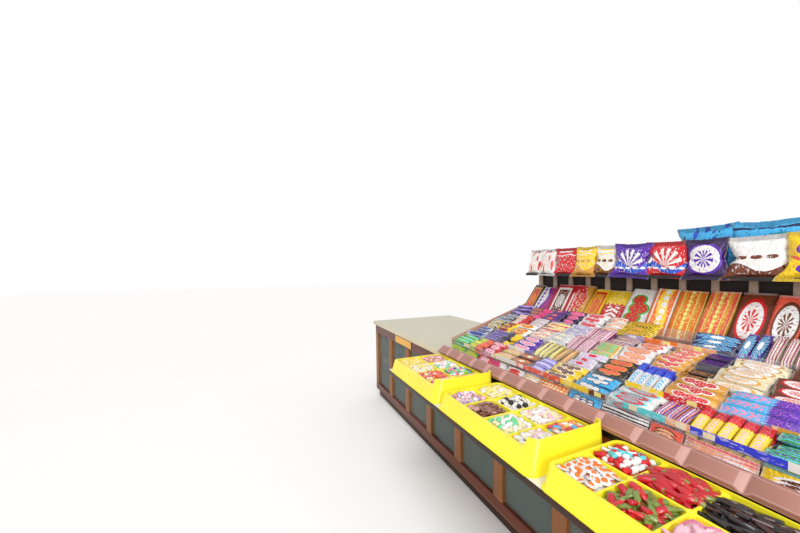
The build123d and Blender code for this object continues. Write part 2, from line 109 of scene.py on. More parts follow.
# Each stack from the far end of the display: how it lies, its layout, then its film, mark and trim.
TIER_GOODS = (
    (
        "rows sweep green cyan lime", "rows halves lime coral yellow",
        "rows lozenges red pink white", "box base peach pale_yellow cream",
        "box burst brown orange cream", "rows stripes royal lavender white",
        "rows lozenges yellow brown white", "rows lozenges sky white navy",
        "rows oval white red cyan", "upright stripes orange purple white",
        "upright halves yellow red pale_pink", "rows stripes cyan green purple",
        "rows oval red white gold",
    ),
    (
        "jumble oval silver navy blue", "jumble stripes lavender navy purple",
        "jumble halves plum yellow black", "rows lozenges purple pink white",
        "upright sweep pale_yellow plum cream", "upright stripes cream gold orange",
        "jumble burst white lavender red", "rows lozenges black coral gold",
        "upright halves white royal sky", "rows lozenges gold red white",
        "rows halves sky purple pink", "rows oval red white blue", "rows lozenges gold red white",
    ),
    (
        "jumble band silver navy yellow", "rows lozenges yellow brown red",
        "rows oval white red yellow", "rows band cream red white", "rows burst white grey cream",
        "upright stripes pink white magenta", "rows panel cream mint gold",
        "rows lozenges white peach coral", "rows lozenges gold red white",
        "box panel cocoa brown tan", "rows oval cream white gold", "rows oval brown white red",
        "upright sweep cyan blue white", "rows oval cream brown white",
    ),
    (
        "jumble sweep grey navy silver", "jumble halves white red orange",
        "rows band white pale_pink grey", "rows sweep red yellow white",
        "rows burst white purple silver", "upright stripes magenta pale_pink white",
        "rows stripes cream purple gold", "rows oval white peach red",
        "rows lozenges gold coral white", "box band plum black purple", "rows oval cream white tan",
        "rows oval brown white cocoa", "rows band cocoa tan cream", "rows sweep red white brown",
    ),
    (
        "jumble sweep plum lavender purple", "jumble halves plum rose orange",
        "rows burst plum purple coral", "jumble oval plum rose pink",
        "rows lozenges white red pale_pink", "rows band white coral cream",
        "jumble burst yellow cocoa gold", "sticks stripes purple lavender silver",
        "rows burst plum sky white", "upright burst purple cyan white",
        "upright stripes cream magenta white", "upright halves gold brown cream",
        "upright sweep cocoa gold tan", "upright halves brown yellow cream",
    ),
    (
        "block panel cocoa red gold", "block sweep magenta white purple",
        "block panel red brown white", "block base red gold white", "block panel yellow gold red",
        "block halves red yellow white", "block lozenges white red green",
        "block band orange yellow white", "block stripes gold orange pale_yellow",
        "block stripes gold coral pale_yellow", "block oval brown white red",
        "block oval coral white brown", "block sweep red cocoa white", "block oval cocoa cream red",
        "block halves brown gold cream", "block sweep red gold white",
    ),
)
BAG_GOODS = (
    "scatter white red orange", "scatter white coral orange", "base red red white",
    "base yellow gold white", "base white brown yellow", "sash purple blue white",
    "sash red blue white", "oval plum white purple", "base white brown white",
    "ovals yellow purple coral", "scatter yellow purple white", "sweep royal white sky",
)
BACK_BAG_GOODS = ("scatter sky blue navy", "band sky teal navy")
# Cards of equal length along each tier's strip, from the far end; a dash leaves a gap.
STRIP_PAINTS = (
    "- - cream - - - white white white coral coral coral coral "
    "yellow yellow brown - cyan cyan peach royal royal royal white gold gold",
    "- - - white - - - - yellow red - gold cream",
    "- - cream - - - - peach - - white - -",
    "- - - - - white - - - - - gold -",
    "- - - lavender - purple lavender orange peach - - cream -",
    "- - - - - - cream - - orange - - -",
)
# Packets that stand on the worktop before the first step, from the far end.
FRONT_GOODS = (
    "oval lime green yellow", "burst green yellow lime", "lozenges red pink white",
    "halves rose white red", "oval white red coral", "band cream white gold",
    "sweep yellow orange cream", "lozenges sky white navy", "stripes cocoa white grey",
    "oval coral peach brown", "band peach white rose", "oval yellow brown white",
    "burst royal sky white",
)
# What each tray's pockets hold, from the far end: the front pocket, then the one behind it.
TRAY_SWEETS = (
    "yellow_gums pink_bits cream_gums pastel_gums orange_bits wrapped pink_shrimps peach_gums",
    "speckled cream_gums brown_buttons black_specks minty_mice white_mice white_mice bright_gums",
    "fried_eggs red_mix bottles chillies pink_shrimps liquorice pastel_gums bright_gums",
)


class Wire:
    """A shader value that is worked with as in algebra; each step adds one Math node."""

    def __init__(self, tree, socket):
        self.tree = tree
        self.socket = socket

    def step(self, operation, *others):
        node = self.tree.nodes.new("ShaderNodeMath")
        node.operation = operation
        for slot, value in enumerate((self, *others)):
            if isinstance(value, Wire):
                self.tree.links.new(value.socket, node.inputs[slot])
            else:
                node.inputs[slot].default_value = value
        return Wire(self.tree, node.outputs[0])

    def __add__(self, other):
        return self.step("ADD", other)

    def __sub__(self, other):
        return self.step("SUBTRACT", other)

    def __mul__(self, other):
        return self.step("MULTIPLY", other)

    def __truediv__(self, other):
        return self.step("DIVIDE", other)

    def __gt__(self, other):
        return self.step("GREATER_THAN", other)

    def __lt__(self, other):
        return self.step("LESS_THAN", other)

    def size(self):
        return self.step("ABSOLUTE")

    def sine(self):
        return self.step("SINE")

    def part(self):
        return self.step("FRACT")

    def squared(self):
        return self.step("POWER", 2)

    def limit(self, low, high):
        return self.step("MAXIMUM", low).step("MINIMUM", high)

    def within(self, low, high):
        return (self > low) * (self < high)

    def climb(self, start, slope):
        """0 up to a start, then rising by the slope until it is 1."""
        return ((self - start) * slope).limit(0, 1)


class Finish:
    """One material under construction, with its Principled shader."""

    def __init__(self, name, roughness=0.4, **settings):
        self.material = bpy.data.materials.new(name)
        self.material.use_nodes = True
        self.tree = self.material.node_tree
        self.shader = self.tree.nodes["Principled BSDF"]
        self.shader.inputs["Roughness"].default_value = roughness
        for label, value in settings.items():
            self.shader.inputs[label.replace("_", " ")].default_value = value

    def add(self, kind, output=0, **settings):
        """Adds a node; a setting that names an input fills or links it, and any other is its property."""
        node = self.tree.nodes.new(kind)
        for label, value in settings.items():
            socket = node.inputs.get(label.replace("_", " "))
            if socket is None:
                setattr(node, label, value)
            elif isinstance(value, Wire):
                self.tree.links.new(value.socket, socket)
            else:
                socket.default_value = value
        return Wire(self.tree, node.outputs[output])

    def stretched(self, where, stretch):
        """Coordinates multiplied by a factor on each axis, so that a high one makes a pattern finer."""
        return self.add("ShaderNodeMapping", Vector=where, Scale=stretch)

    def place(self, stretch=(1, 1, 1)):
        """Object coordinates, multiplied by a factor on each axis."""
        return self.stretched(self.add("ShaderNodeTexCoord", "Object"), stretch)

    def carried(self, name, kind="Color"):
        """What the mesh carries under a name: a colour, or with Fac a number."""
        return self.add("ShaderNodeAttribute", kind, attribute_name=name)

    def axis(self, where, name):
        return self.add("ShaderNodeSeparateXYZ", name, Vector=where)

    def noise(self, where, scale, detail=3.0, rough=0.55, distortion=0.0):
        return self.add(
            "ShaderNodeTexNoise", "Fac", Vector=where, Scale=scale, Detail=detail,
            Roughness=rough, Distortion=distortion,
        )

    def cells(self, where, output="Distance", scale=1.0, chance=1.0):
        """Scattered cells: the distance to the middle of each, or its own colour."""
        return self.add("ShaderNodeTexVoronoi", output, Vector=where, Scale=scale, Randomness=chance)

    def ramp(self, factor, *stops):
        """A colour ramp of (position, linear colour) stops."""
        node = self.tree.nodes.new("ShaderNodeValToRGB")
        self.tree.links.new(factor.socket, node.inputs[0])
        points = node.color_ramp.elements
        while len(points) < len(stops):
            points.new(0.5)
        for point, (position, rgb) in zip(points, stops):
            point.position = position
            point.color = (*rgb, 1)
        return Wire(self.tree, node.outputs[0])

    def mix(self, factor, first, second, blend="MIX"):
        node = self.tree.nodes.new("ShaderNodeMix")
        node.data_type = "RGBA"
        node.blend_type = blend
        for slot, value in ((0, factor), (6, first), (7, second)):
            if isinstance(value, Wire):
                self.tree.links.new(value.socket, node.inputs[slot])
            elif slot == 0:
                node.inputs[slot].default_value = value
            else:
                node.inputs[slot].default_value = (*value, 1)
        return Wire(self.tree, node.outputs[2])

    def product(self, first, second):
        return self.mix(1.0, first, second, "MULTIPLY")

    def drift(self, factor, rgb, low, high):
        """A colour that drifts between two shades of itself."""
        return self.mix(factor, shade(rgb, low), shade(rgb, high))

    def paint(self, colour):
        self.tree.links.new(colour.socket, self.shader.inputs["Base Color"])

    def sheen(self, factor, least, spread):
        """Roughness: the least one where the factor is 0, and more by the spread where it is 1."""
        roughness = factor * spread + least
        self.tree.links.new(roughness.socket, self.shader.inputs["Roughness"])

    def relief(self, height, depth, strength=1.0):
        """Bumps the surface by a height of 0 to 1, in metres at 1."""
        bump = self.add("ShaderNodeBump", 0, Height=height, Distance=depth, Strength=strength)
        self.tree.links.new(bump.socket, self.shader.inputs["Normal"])


def shade(rgb, factor):
    return tuple(min(1.0, channel * factor) for channel in rgb)


def grey(value):
    return (value,) * 3


def grain(axis, across, along):
    """How a wood pattern is stretched: fine across the grain, and drawn out along its axis."""
    return tuple(along if name == axis else across for name in "XYZ")


# A place on the grain, from 0 to 1, and how light the stain is there.
WOOD_TONES = ((0.3, 0.45), (0.48, 0.85), (0.6, 1.0), (0.74, 1.35))


def wood(name, rgb, stretch, roughness=0.42):
    """Stained wood, with broad and fine lines in its grain."""
    finish = Finish(name, roughness, Specular_IOR_Level=0.25)
    where = finish.place(stretch)
    broad = finish.noise(where, scale=3.2, detail=4, rough=0.6, distortion=0.5)
    fine = finish.noise(where, scale=26, detail=5, rough=0.7)
    fine_share = 0.38
    lines = broad * (1 - fine_share) + fine * fine_share
    finish.paint(finish.ramp(lines, *((spot, shade(rgb, light)) for spot, light in WOOD_TONES)))
    finish.sheen(fine, least=roughness - 0.14, spread=0.3)
    finish.relief(fine, depth=0.0006, strength=0.5)
    return finish.material


def laminate(name, rgb, fleck, roughness=0.34):
    """A hard laminate with fine flecks and faint wear."""
    finish = Finish(name, roughness)
    where = finish.place()
    cloud = finish.noise(where, scale=5, detail=4)
    flecks = finish.noise(where, scale=420, detail=2, rough=0.5) > 0.6
    scuffs = finish.noise(finish.place((14, 60, 1)), scale=4, detail=4, rough=0.7)
    body = finish.drift(cloud, rgb, low=0.9, high=1.08)
    finish.paint(finish.mix(flecks * 0.55, body, fleck))
    finish.sheen(scuffs, least=roughness - 0.13, spread=0.3)
    finish.relief(scuffs, depth=0.0002, strength=0.4)
    return finish.material


def moulded(name, rgb, roughness=0.35, texture=900.0, depth=0.00012, **settings):
    """Moulded plastic with a fine texture and slow changes of tone."""
    finish = Finish(name, roughness, **settings)
    where = finish.place()
    tone = finish.noise(where, scale=4, detail=3)
    skin = finish.noise(where, scale=texture, detail=2)
    handled = finish.noise(where, scale=22, detail=5, rough=0.7)
    finish.paint(finish.drift(tone, rgb, low=0.88, high=1.08))
    finish.sheen(handled, least=roughness - 0.12, spread=0.24)
    finish.relief(skin + handled * 0.8, depth, strength=0.5)
    return finish.material


def enamel(name, rgb, roughness=0.42, **settings):
    """Paint on metal with a slight orange-peel surface and rubbed spots."""
    finish = Finish(name, roughness, **settings)
    where = finish.place()
    tone = finish.noise(where, scale=7, detail=4)
    peel = finish.noise(where, scale=260, detail=2)
    wear_and_highlight = (finish.noise(where, scale=38, detail=6, rough=0.75) - 0.6).limit(0, 1) * 2.2
    body = finish.drift(tone, rgb, low=0.85, high=1.12)
    finish.paint(finish.mix(wear_and_highlight, body, shade(rgb, 1.9)))
    finish.sheen(peel, least=roughness - 0.1, spread=0.25)
    finish.relief(peel, depth=0.0002, strength=0.4)
    return finish.material


def clear(name, rgb, alpha, roughness=0.06):
    """Clear sheet that lets most light through; its faint smears change the gloss."""
    finish = Finish(name, roughness, Alpha=alpha, IOR=1.49)
    smear = finish.noise(finish.place(), scale=9, detail=5, rough=0.7)
    finish.paint(finish.drift(smear, rgb, low=0.9, high=1.05))
    finish.sheen(smear, least=roughness, spread=0.16)
    finish.material.surface_render_method = "BLENDED"
    return finish.material


class PacketFace:
    """Shapes to print on a packet. Both ways over its face run from -0.5 to 0.5, and sizes are halves."""

    def __init__(self, finish, uv):
        self.across = finish.axis(uv, "X") - 0.5
        self.up = finish.axis(uv, "Y") - 0.5

    def band(self, height, y=0.0, width=0.5):
        return ((self.up - y).size() < height) * (self.across.size() < width)

    def ellipse(self, width, height, x=0.0, y=0.0):
        """Under 1 inside an ellipse, and over 1 outside it."""
        return ((self.across - x) / width).squared() + ((self.up - y) / height).squared()

    def disc(self, width, height, x=0.0, y=0.0):
        return self.ellipse(width, height, x, y) < 1.0

    def beads(self, count, height, y=0.0):
        """A row of round beads."""
        cell = (self.across * count + 0.5).part() - 0.5
        return (cell / 0.4).squared() + ((self.up - y) / height).squared() < 1.0

    def splash(self, grow):
        """Three round patches that run together, larger by a margin."""
        patches = ((-0.2, 0.06, 0.12, 0.28), (0.02, -0.04, 0.13, 0.34), (0.22, 0.05, 0.1, 0.24))
        first, *others = [
            self.ellipse(width + grow, height + 2.4 * grow, x, y) for x, y, width, height in patches]
        for other in others:
            first = first.step("MINIMUM", other)
        return first < 1.0

    def ribbon(self, y, height, waves, swing):
        return (self.up - (self.across * waves).sine() * swing - y).size() < height

    def chevrons(self, count, height):
        lean = self.up.size() * count * 0.3
        return ((self.across * count + lean).part() > 0.5) * self.band(height)

    def rays(self, count, y=0.0):
        """Rays from one point, half of them printed."""
        turn = (self.up - y).step("ARCTAN2", self.across * 1.6) * (count / (2 * math.pi))
        return turn.part() > 0.5


def print_masks(face, dabs, cast):
    """Where each layout prints its mark, and where it prints its trim."""
    across, up = face.across, face.up
    wave = up + (across * 8 + 0.6).sine() * 0.1
    lines = (up * 4 + (across * 7).sine() * 0.06 + 0.25).part()
    teeth = ((up * 5).part() - 0.5).size() * 0.12
    oval = face.ellipse(0.36, 0.38)
    hub = face.disc(0.2, 0.2)
    inner, outer = face.band(0.28, width=0.34), face.band(0.36, width=0.4)
    fan = face.disc(0.32, 0.44, y=-0.12) * (wave > -0.1) * face.rays(13, y=-0.16)
    upper, lower = face.ellipse(0.27, 0.15, y=0.16), face.ellipse(0.25, 0.13, x=0.03, y=-0.24)
    return {
        "band": (
            face.ribbon(y=0.0, height=0.2, waves=7, swing=0.07),
            face.beads(7, height=0.11) + ((up.size() - 0.38).size() < 0.03)),
        "oval": (oval < 0.8, oval.within(0.8, 1.15) + hub * face.rays(11)),
        "sweep": (wave > 0.0, wave.within(-0.1, 0.0) + face.beads(8, height=0.08, y=0.26)),
        "lozenges": (face.splash(0.0), face.splash(0.03) - face.splash(0.0)),
        "stripes": (lines > 0.5, face.beads(11, height=0.06, y=0.02) + lines.within(0.4, 0.5)),
        "halves": (across + teeth > 0.14, face.chevrons(9, height=0.26) * (across < 0.04)),
        "panel": (inner, outer - inner + hub * face.rays(16)),
        "burst": (face.rays(18) * face.disc(0.46, 0.5), face.disc(0.15, 0.2)),
        "sash": (wave.within(-0.3, -0.13), fan + face.beads(6, height=0.03, y=-0.22)),
        "base": (
            (wave < -0.2) + face.beads(5, height=0.045, y=0.02) * (across.size() < 0.3),
            face.band(0.04, y=0.4, width=0.26)
            + face.ribbon(y=0.24, height=0.015, waves=12, swing=0.02) * (across.size() < 0.36)),
        "scatter": ((dabs < 0.42) * (cast > 0.45), (dabs < 0.34) * (cast < 0.3)),
        "ovals": (
            lower.step("MINIMUM", upper) < 1.0,
            face.ribbon(y=-0.04, height=0.03, waves=14, swing=0.03) * (across.size() < 0.34)),
    }


def printed_film():
    """Packet and bag film. Its print is worked out from the UV map and three colours on the mesh."""
    finish = Finish("printed_film", 0.3, Specular_IOR_Level=0.35, Coat_Weight=0.2, Coat_Roughness=0.1)
    where = finish.place()
    uv = finish.add("ShaderNodeUVMap", uv_map="UVMap")
    face = PacketFace(finish, uv)
    film, mark, trim = (finish.carried(name) for name in ("film", "mark", "trim"))
    layout = finish.carried("layout", "Fac")
    spread = finish.stretched(uv, (7, 2.6, 1))
    dabs = finish.cells(spread, chance=0.8)
    cast = finish.axis(finish.cells(spread, "Color", chance=0.8), "X")
    masks = print_masks(face, dabs, cast)
    marked = trimmed = None
    for number, name in enumerate(PRINT_LAYOUTS):
        chosen = layout.step("COMPARE", float(number), 0.2)
        mark_part, trim_part = (chosen * mask for mask in masks[name])
        marked = mark_part if marked is None else marked + mark_part
        trimmed = trim_part if trimmed is None else trimmed + trim_part
    flecks = finish.noise(finish.stretched(uv, (34, 11, 1)), scale=1, detail=1)
    small_marks = (flecks > 0.6) * face.disc(0.44, 0.4)
    seam = face.across.size().climb(0.455, slope=40)
    crease = finish.noise(where, scale=46, detail=4, rough=0.65, distortion=0.6)
    # Painted crease shade and highlight: the film is darkened and lightened along the same creases that bump
    # it.
    crease_shade_and_highlight = finish.mix(crease, grey(0.72), grey(1.22))
    # Painted fold shade: the film darkens towards the folded edges across its face.
    folded = face.up.size().climb(0.36, slope=7) * 0.62
    body = finish.mix(marked.limit(0, 1), film, mark)
    body = finish.mix(trimmed.limit(0, 1), body, trim)
    body = finish.mix(small_marks * 0.7, body, trim)
    body = finish.mix(seam * 0.25, body, PAINTS["white"])
    # The painted fold shade is mixed into the print here.
    body = finish.mix(folded, body, finish.product(body, FOLD_SHADOW))
    finish.paint(finish.product(body, crease_shade_and_highlight))
    finish.sheen(crease, least=0.08, spread=0.3)
    crinkle = finish.noise(where, scale=190, detail=3, rough=0.6)
    crimps = (face.across * 900).sine() * seam
    dents = finish.cells(finish.place((1, 1, 0.7)), scale=19.0)
    gathers = finish.noise(finish.stretched(uv, (24, 2.5, 1)), scale=1, detail=2)
    pulled = gathers * face.up.size().climb(0.16, slope=4)
    height = crease + crinkle * 0.1 + crimps * 0.072 + dents * 0.9 + pulled * 1.3
    finish.relief(height, depth=0.0055, strength=0.9)
    return finish.material


def sweet_coat(name, roughness, sugar, **settings):
    """Sweets in the colour that each one carries, smooth or sugared."""
    finish = Finish(name, roughness, **settings)
    where = finish.place()
    crystals = finish.noise(where, scale=1400, detail=2)
    tone = finish.noise(where, scale=90, detail=3)
    toned = finish.product(finish.carried("film"), finish.mix(tone, grey(0.8), grey(1.0)))
    finish.paint(finish.mix((crystals > 0.56) * sugar, toned, PAINTS["white"]))
    finish.sheen(crystals, least=roughness - 0.1, spread=0.25)
    finish.relief(crystals, depth=0.0004, strength=0.3 + sugar)
    return finish.material


def deselect():
    if bpy.context.object and bpy.context.object.mode != "OBJECT":
        bpy.ops.object.mode_set(mode="OBJECT")
    bpy.ops.object.select_all(action="DESELECT")


def activate(piece):
    deselect()
    piece.select_set(True)
    bpy.context.view_layer.objects.active = piece


def smooth(piece, angle=SHARP_EDGE):
    activate(piece)
    bpy.ops.object.shade_smooth_by_angle(angle=angle)


def finished(piece, name, material, slot, *nodes):
    """Names a piece, gives it its one material, and seats it on the frame in place of the nodes."""
    piece.name = name
    piece.data.name = name
    piece.data.materials.clear()
    piece.data.materials.append(material)
    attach(piece, "root")
    if nodes:
        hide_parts(*nodes)
    return piece


def coat(material, *nodes):
    """Gives CAD nodes that stay as they are their material."""
    for node in nodes:
        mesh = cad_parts[node].data
        mesh.materials.clear()
        mesh.materials.append(material)


def softened(node, material, slot, width, segments=2):
    """A copy of a CAD node with its sharp edges eased, which stands for the node."""
    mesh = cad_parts[node].data.copy()
    piece = bpy.data.objects.new(node + "_eased", mesh)
    bpy.context.scene.collection.objects.link(piece)
    activate(piece)
    bpy.ops.object.mode_set(mode="EDIT")
    bpy.ops.mesh.select_all(action="SELECT")
    bpy.ops.mesh.remove_doubles(threshold=MERGE_DISTANCE)
    bpy.ops.mesh.dissolve_limited(angle_limit=FLAT_ANGLE)
    bpy.ops.object.mode_set(mode="OBJECT")
    bevel = piece.modifiers.new("eased", "BEVEL")
    bevel.width = width
    bevel.segments = segments
    bevel.limit_method = "ANGLE"
    bevel.angle_limit = SHARP_EDGE
    bevel.harden_normals = False
    bpy.ops.object.modifier_apply(modifier=bevel.name)
    smooth(piece)
    return finished(piece, node + "_eased", material, slot, node)


def solids(node):
    """The points of each separate solid in a node, from the far end to the near one."""
    mesh = bmesh.new()
    mesh.from_mesh(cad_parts[node].data)
    bmesh.ops.remove_doubles(mesh, verts=mesh.verts[:], dist=MERGE_DISTANCE)
    groups, seen = [], set()
    for start in mesh.verts:
        if start in seen:
            continue
        group, waiting = [], [start]
        seen.add(start)
        while waiting:
            vertex = waiting.pop()
            group.append(vertex.co.copy())
            for edge in vertex.link_edges:
                other = edge.other_vert(vertex)
                if other not in seen:
                    seen.add(other)
                    waiting.append(other)
        groups.append(group)
    mesh.free()

    def from_far_end(group):
        return round(min(p.x for p in group), 3), min(p.y for p in group)

    return sorted(groups, key=from_far_end)


def corners(points):
    low = Vector([min(p[i] for p in points) for i in range(3)])
    high = Vector([max(p[i] for p in points) for i in range(3)])
    return low, high


def ringed(name, sides, rings):
    """A closed tube along X. Each ring gives its x, width, thickness, sideways shift and lift, in metres."""
    deselect()
    bpy.ops.mesh.primitive_cylinder_add(
        vertices=sides, radius=0.5 / math.cos(math.pi / sides), depth=1, rotation=(0, QUARTER_TURN, 0)
    )
    model = bpy.context.object
    model.name = name
    bpy.ops.object.transform_apply(location=False, rotation=True, scale=False)
    if sides % 4 == 0:
        model.data.transform(Matrix.Rotation(math.pi / sides, 4, "X"))
    bpy.ops.object.mode_set(mode="EDIT")
    mesh = bmesh.from_edit_mesh(model.data)
    bpy.ops.mesh.select_all(action="DESELECT")
    bpy.ops.mesh.select_mode(type="EDGE")
    for edge in mesh.edges:
        edge.select_set(abs(edge.verts[0].co.x - edge.verts[1].co.x) > 0.5)
    if len(rings) > 2:
        bpy.ops.mesh.subdivide(number_cuts=len(rings) - 2)
    bpy.ops.mesh.select_mode(type="VERT")
    mesh = bmesh.from_edit_mesh(model.data)
    mesh.verts.ensure_lookup_table()
    places = [-0.5 + i / (len(rings) - 1) for i in range(len(rings))]
    members = [[v.index for v in mesh.verts if abs(v.co.x - x) < 0.01] for x in places]
    for place, (x, width, thickness, shift, lift), indices in zip(places, rings, members):
        bpy.ops.mesh.select_all(action="DESELECT")
        mesh = bmesh.from_edit_mesh(model.data)
        mesh.verts.ensure_lookup_table()
        for index in indices:
            mesh.verts[index].select_set(True)
        bpy.ops.transform.resize(value=(1, width, thickness))
        bpy.ops.transform.translate(value=(x - place, shift, lift))
    bpy.ops.object.mode_set(mode="OBJECT")
    return model


def slab(centre, size):
    """A plain block with its mesh drawn in place."""
    deselect()
    bpy.ops.mesh.primitive_cube_add(size=1, location=centre)
    piece = bpy.context.object
    piece.scale = size
    bpy.ops.object.transform_apply(location=True, rotation=False, scale=True)
    return piece


def map_flat(model, length, width, across="y"):
    """A flat UV map: U along X over the length, V along another axis over the width."""
    layer = model.data.uv_layers.get("UVMap") or model.data.uv_layers.new(name="UVMap")
    for loop in model.data.loops:
        point = model.data.vertices[loop.vertex_index].co
        layer.data[loop.index].uv = (point.x / length + 0.5, getattr(point, across) / width + 0.5)


def wear_colours(piece, **values):
    """Writes colours or numbers on every point of a piece, for its material to read."""
    count = len(piece.data.vertices)
    for name, value in values.items():
        if isinstance(value, (int, float)):
            attribute = piece.data.attributes.new(name, "FLOAT", "POINT")
            attribute.data.foreach_set("value", [float(value)] * count)
        else:
            attribute = piece.data.attributes.new(name, "FLOAT_COLOR", "POINT")
            attribute.data.foreach_set("color", [*value, 1.0] * count)


def copy_of(model, matrix, **values):
    """A copy of a model with its own mesh, put in place, and with its own colours."""
    piece = bpy.data.objects.new(model.name + "_copy", model.data.copy())
    piece.data.transform(matrix)
    wear_colours(piece, **values)
    bpy.context.scene.collection.objects.link(piece)
    return piece


def joined(pieces):
    deselect()
    for piece in pieces:
        piece.select_set(True)
    bpy.context.view_layer.objects.active = pieces[0]
    if len(pieces) > 1:
        bpy.ops.object.join()
    return bpy.context.view_layer.objects.active


def discard(*models):
    for model in models:
        bpy.data.objects.remove(model)


def seat(x, y, z, tilt=0.0, turn=0.0, roll=0.0, size=(1, 1, 1)):
    """A placing matrix: scaled, tilted back about X, rolled about Y, turned about Z, then moved."""
    turned = Matrix.Rotation(turn, 4, "Z") @ Matrix.Rotation(tilt, 4, "X") @ Matrix.Rotation(roll, 4, "Y")
    return Matrix.Translation((x, y, z)) @ turned @ Matrix.Diagonal((*size, 1))


def colour(name, about, *screen):
    return FloatVectorProperty(name=name, description=about, subtype="COLOR", default=linear(*screen))


def measure(name, about, metres):
    return FloatProperty(name=name, description=about, subtype="DISTANCE", default=metres)


class CounterFinishes(bpy.types.PropertyGroup):
    """Colours of the counter itself."""

    post_wood: colour("Post wood", "Stained wood of the posts", 152, 96, 50)
    rail_wood: colour("Rail wood", "Dark red-brown wood of the rails", 110, 54, 36)
    panel_wood: colour("Panel wood", "Wood of the end panels and the inside", 120, 72, 44)
    plinth_wood: colour("Plinth wood", "Dark wood of the plinth", 58, 36, 26)
    riser_wood: colour("Riser wood", "Orange-brown board behind the trays", 176, 92, 50)
    worktop: colour("Worktop", "Laminate of the worktop", 198, 190, 164)
    edge_band: colour("Edge band", "Pale band on the worktop's edge", 214, 200, 164)
    ledge: colour("Ledge", "Laminate of the tray ledge", 226, 220, 206)
    glass: colour("Glass", "Tint of the front glass", 150, 172, 166)
    plate: colour("Plate", "Small plate on the top rail", 244, 176, 28)
    plate_place: measure("Plate place", "Middle of the plate along the counter", -1.04)
    plate_length: measure("Plate length", "Length of the plate", 0.42)
    plate_height: measure("Plate height", "Height of the plate", 0.074)
    eased_edge: measure("Eased edge", "Rounding of the wooden edges", 0.002)


class DisplayFinishes(bpy.types.PropertyGroup):
    """Colours of what stands on the counter."""

    tray: colour("Tray", "Bright yellow plastic of the trays", 255, 236, 50)
    moulding: colour("Moulding", "Milk-brown moulding in chunks", 163, 112, 98)
    # Painted highlight colour for the pale near ends and edge lines of the moulding's chunks.
    facet_highlight: colour("Facets", "Pale ends of the moulding's chunks", 214, 168, 160)
    step: colour("Steps", "Pinkish-brown plastic of the steps", 186, 142, 124)
    lip: colour("Lips", "Clear plastic of the lips and dividers", 236, 242, 244)
    shelf: colour("Top shelf", "Painted metal of the top shelf", 172, 150, 132)
    # Painted shade: the real back board is coloured near black so that the gap behind the slats reads dark.
    back_panel: colour("Back panel", "Dark board behind the slats", 44, 36, 34)
    # Near black, for the strip under the moulding, the top shelf's front edge and the plate's border.
    dark_plastic: colour("Dark strips", "Black plastic strips", 30, 28, 28)


class GoodsSizes(bpy.types.PropertyGroup):
    """Sizes of the packets, bags and sweets."""

    packet_width: measure("Packet width", "Width of a bar in its film", 0.04)
    packet_thickness: measure("Packet thickness", "Thickness of a bar in its film", 0.023)
    front_thickness: measure("Front packets", "Thickness of packets before the first step", 0.014)
    upright_pitch: measure("Upright pitch", "Spacing of packets that lie up the slope", 0.038)
    block_thickness: measure("Block thickness", "Thickness of the large blocks at the back", 0.016)
    bag_pressure: FloatProperty(
        name="Bag pressure", description="Cloth pressure that fills a bag", default=5.0)
    bag_seam: measure("Bag seam", "Height of a bag's crimped seam", 0.014)
    bag_hang: measure("Bag hang", "How far a lower seam hangs below the shelf", 0.02)
    bag_overlap: FloatProperty(
        name="Bag overlap", description="Width of a bag against its room on the shelf", default=1.3)
    bag_row_depth: measure("Bag row depth", "Depth of the front row of bags", 0.04)
    sweet_rows: IntProperty(
        name="Sweets across", description="Sweets across a pocket", default=6, min=2, max=9)
    heap_rise: measure("Heap rise", "Rise of a heap of sweets to its middle", 0.014)
    seed: IntProperty(name="Seed", description="Start of the random placing", default=7)


class StageSettings(bpy.types.PropertyGroup):
    """Floor, light and camera."""

    floor: colour("Floor", "Pale plain floor", 250, 249, 247)
    world_strength: FloatProperty(
        name="World", description="Strength of the even light all round", default=0.66)
    sun_strength: FloatProperty(
        name="Daylight", description="Strength of the soft light from above", default=1.3)
    lamp_power: FloatProperty(
        name="Lamp power", description="Power of the lamp in the aisle", unit="POWER", default=70.0)
    lens: FloatProperty(
        name="Lens", description="Focal length on a 36 mm wide frame", unit="CAMERA", default=16.04)


def finishes():
    return bpy.context.scene.counter_finishes


def display():
    return bpy.context.scene.display_finishes


def goods():
    return bpy.context.scene.goods_sizes


class COUNTER_OT_woodwork(bpy.types.Operator):
    """Posts, rails, panels, shelves and plinth in stained wood"""

    bl_idname = "counter.woodwork"
    bl_label = "Woodwork"

    def execute(self, context):
        own = finishes()
        posts = wood("post_wood", own.post_wood, grain("Z", across=11, along=0.9))
        rails = wood("rail_wood", own.rail_wood, grain("X", across=11, along=0.9))
        panels = wood("panel_wood", own.panel_wood, grain("Z", across=8, along=0.7))
        flat = wood("board_wood", own.panel_wood, grain("X", across=8, along=0.7))
        plinth = wood("plinth_wood", own.plinth_wood, grain("X", across=9, along=0.8), roughness=0.55)
        softened("front_posts", posts, "post_wood", own.eased_edge)
        for node in ("front_top_rail", "front_bottom_rail"):
            softened(node, rails, "rail_wood", own.eased_edge)
        for node in ("end_panels", "back_posts", "back_boards"):
            softened(node, panels, "carcass_wood", own.eased_edge / 2)
        softened("plinth_rails", plinth, "plinth_wood", own.eased_edge)
        coat(plinth, "plinth_cross_boards")
        coat(flat, "floor_board", "inner_shelves", "shelf_cleats")
        coat(panels, "inner_partitions")
        return {"FINISHED"}


class COUNTER_OT_glazing(bpy.types.Operator):
    """Glass in the front bays"""

    bl_idname = "counter.glazing"
    bl_label = "Glazing"

    def execute(self, context):
        coat(clear("front_glass", finishes().glass, alpha=0.2, roughness=0.03), "front_glass")
        return {"FINISHED"}


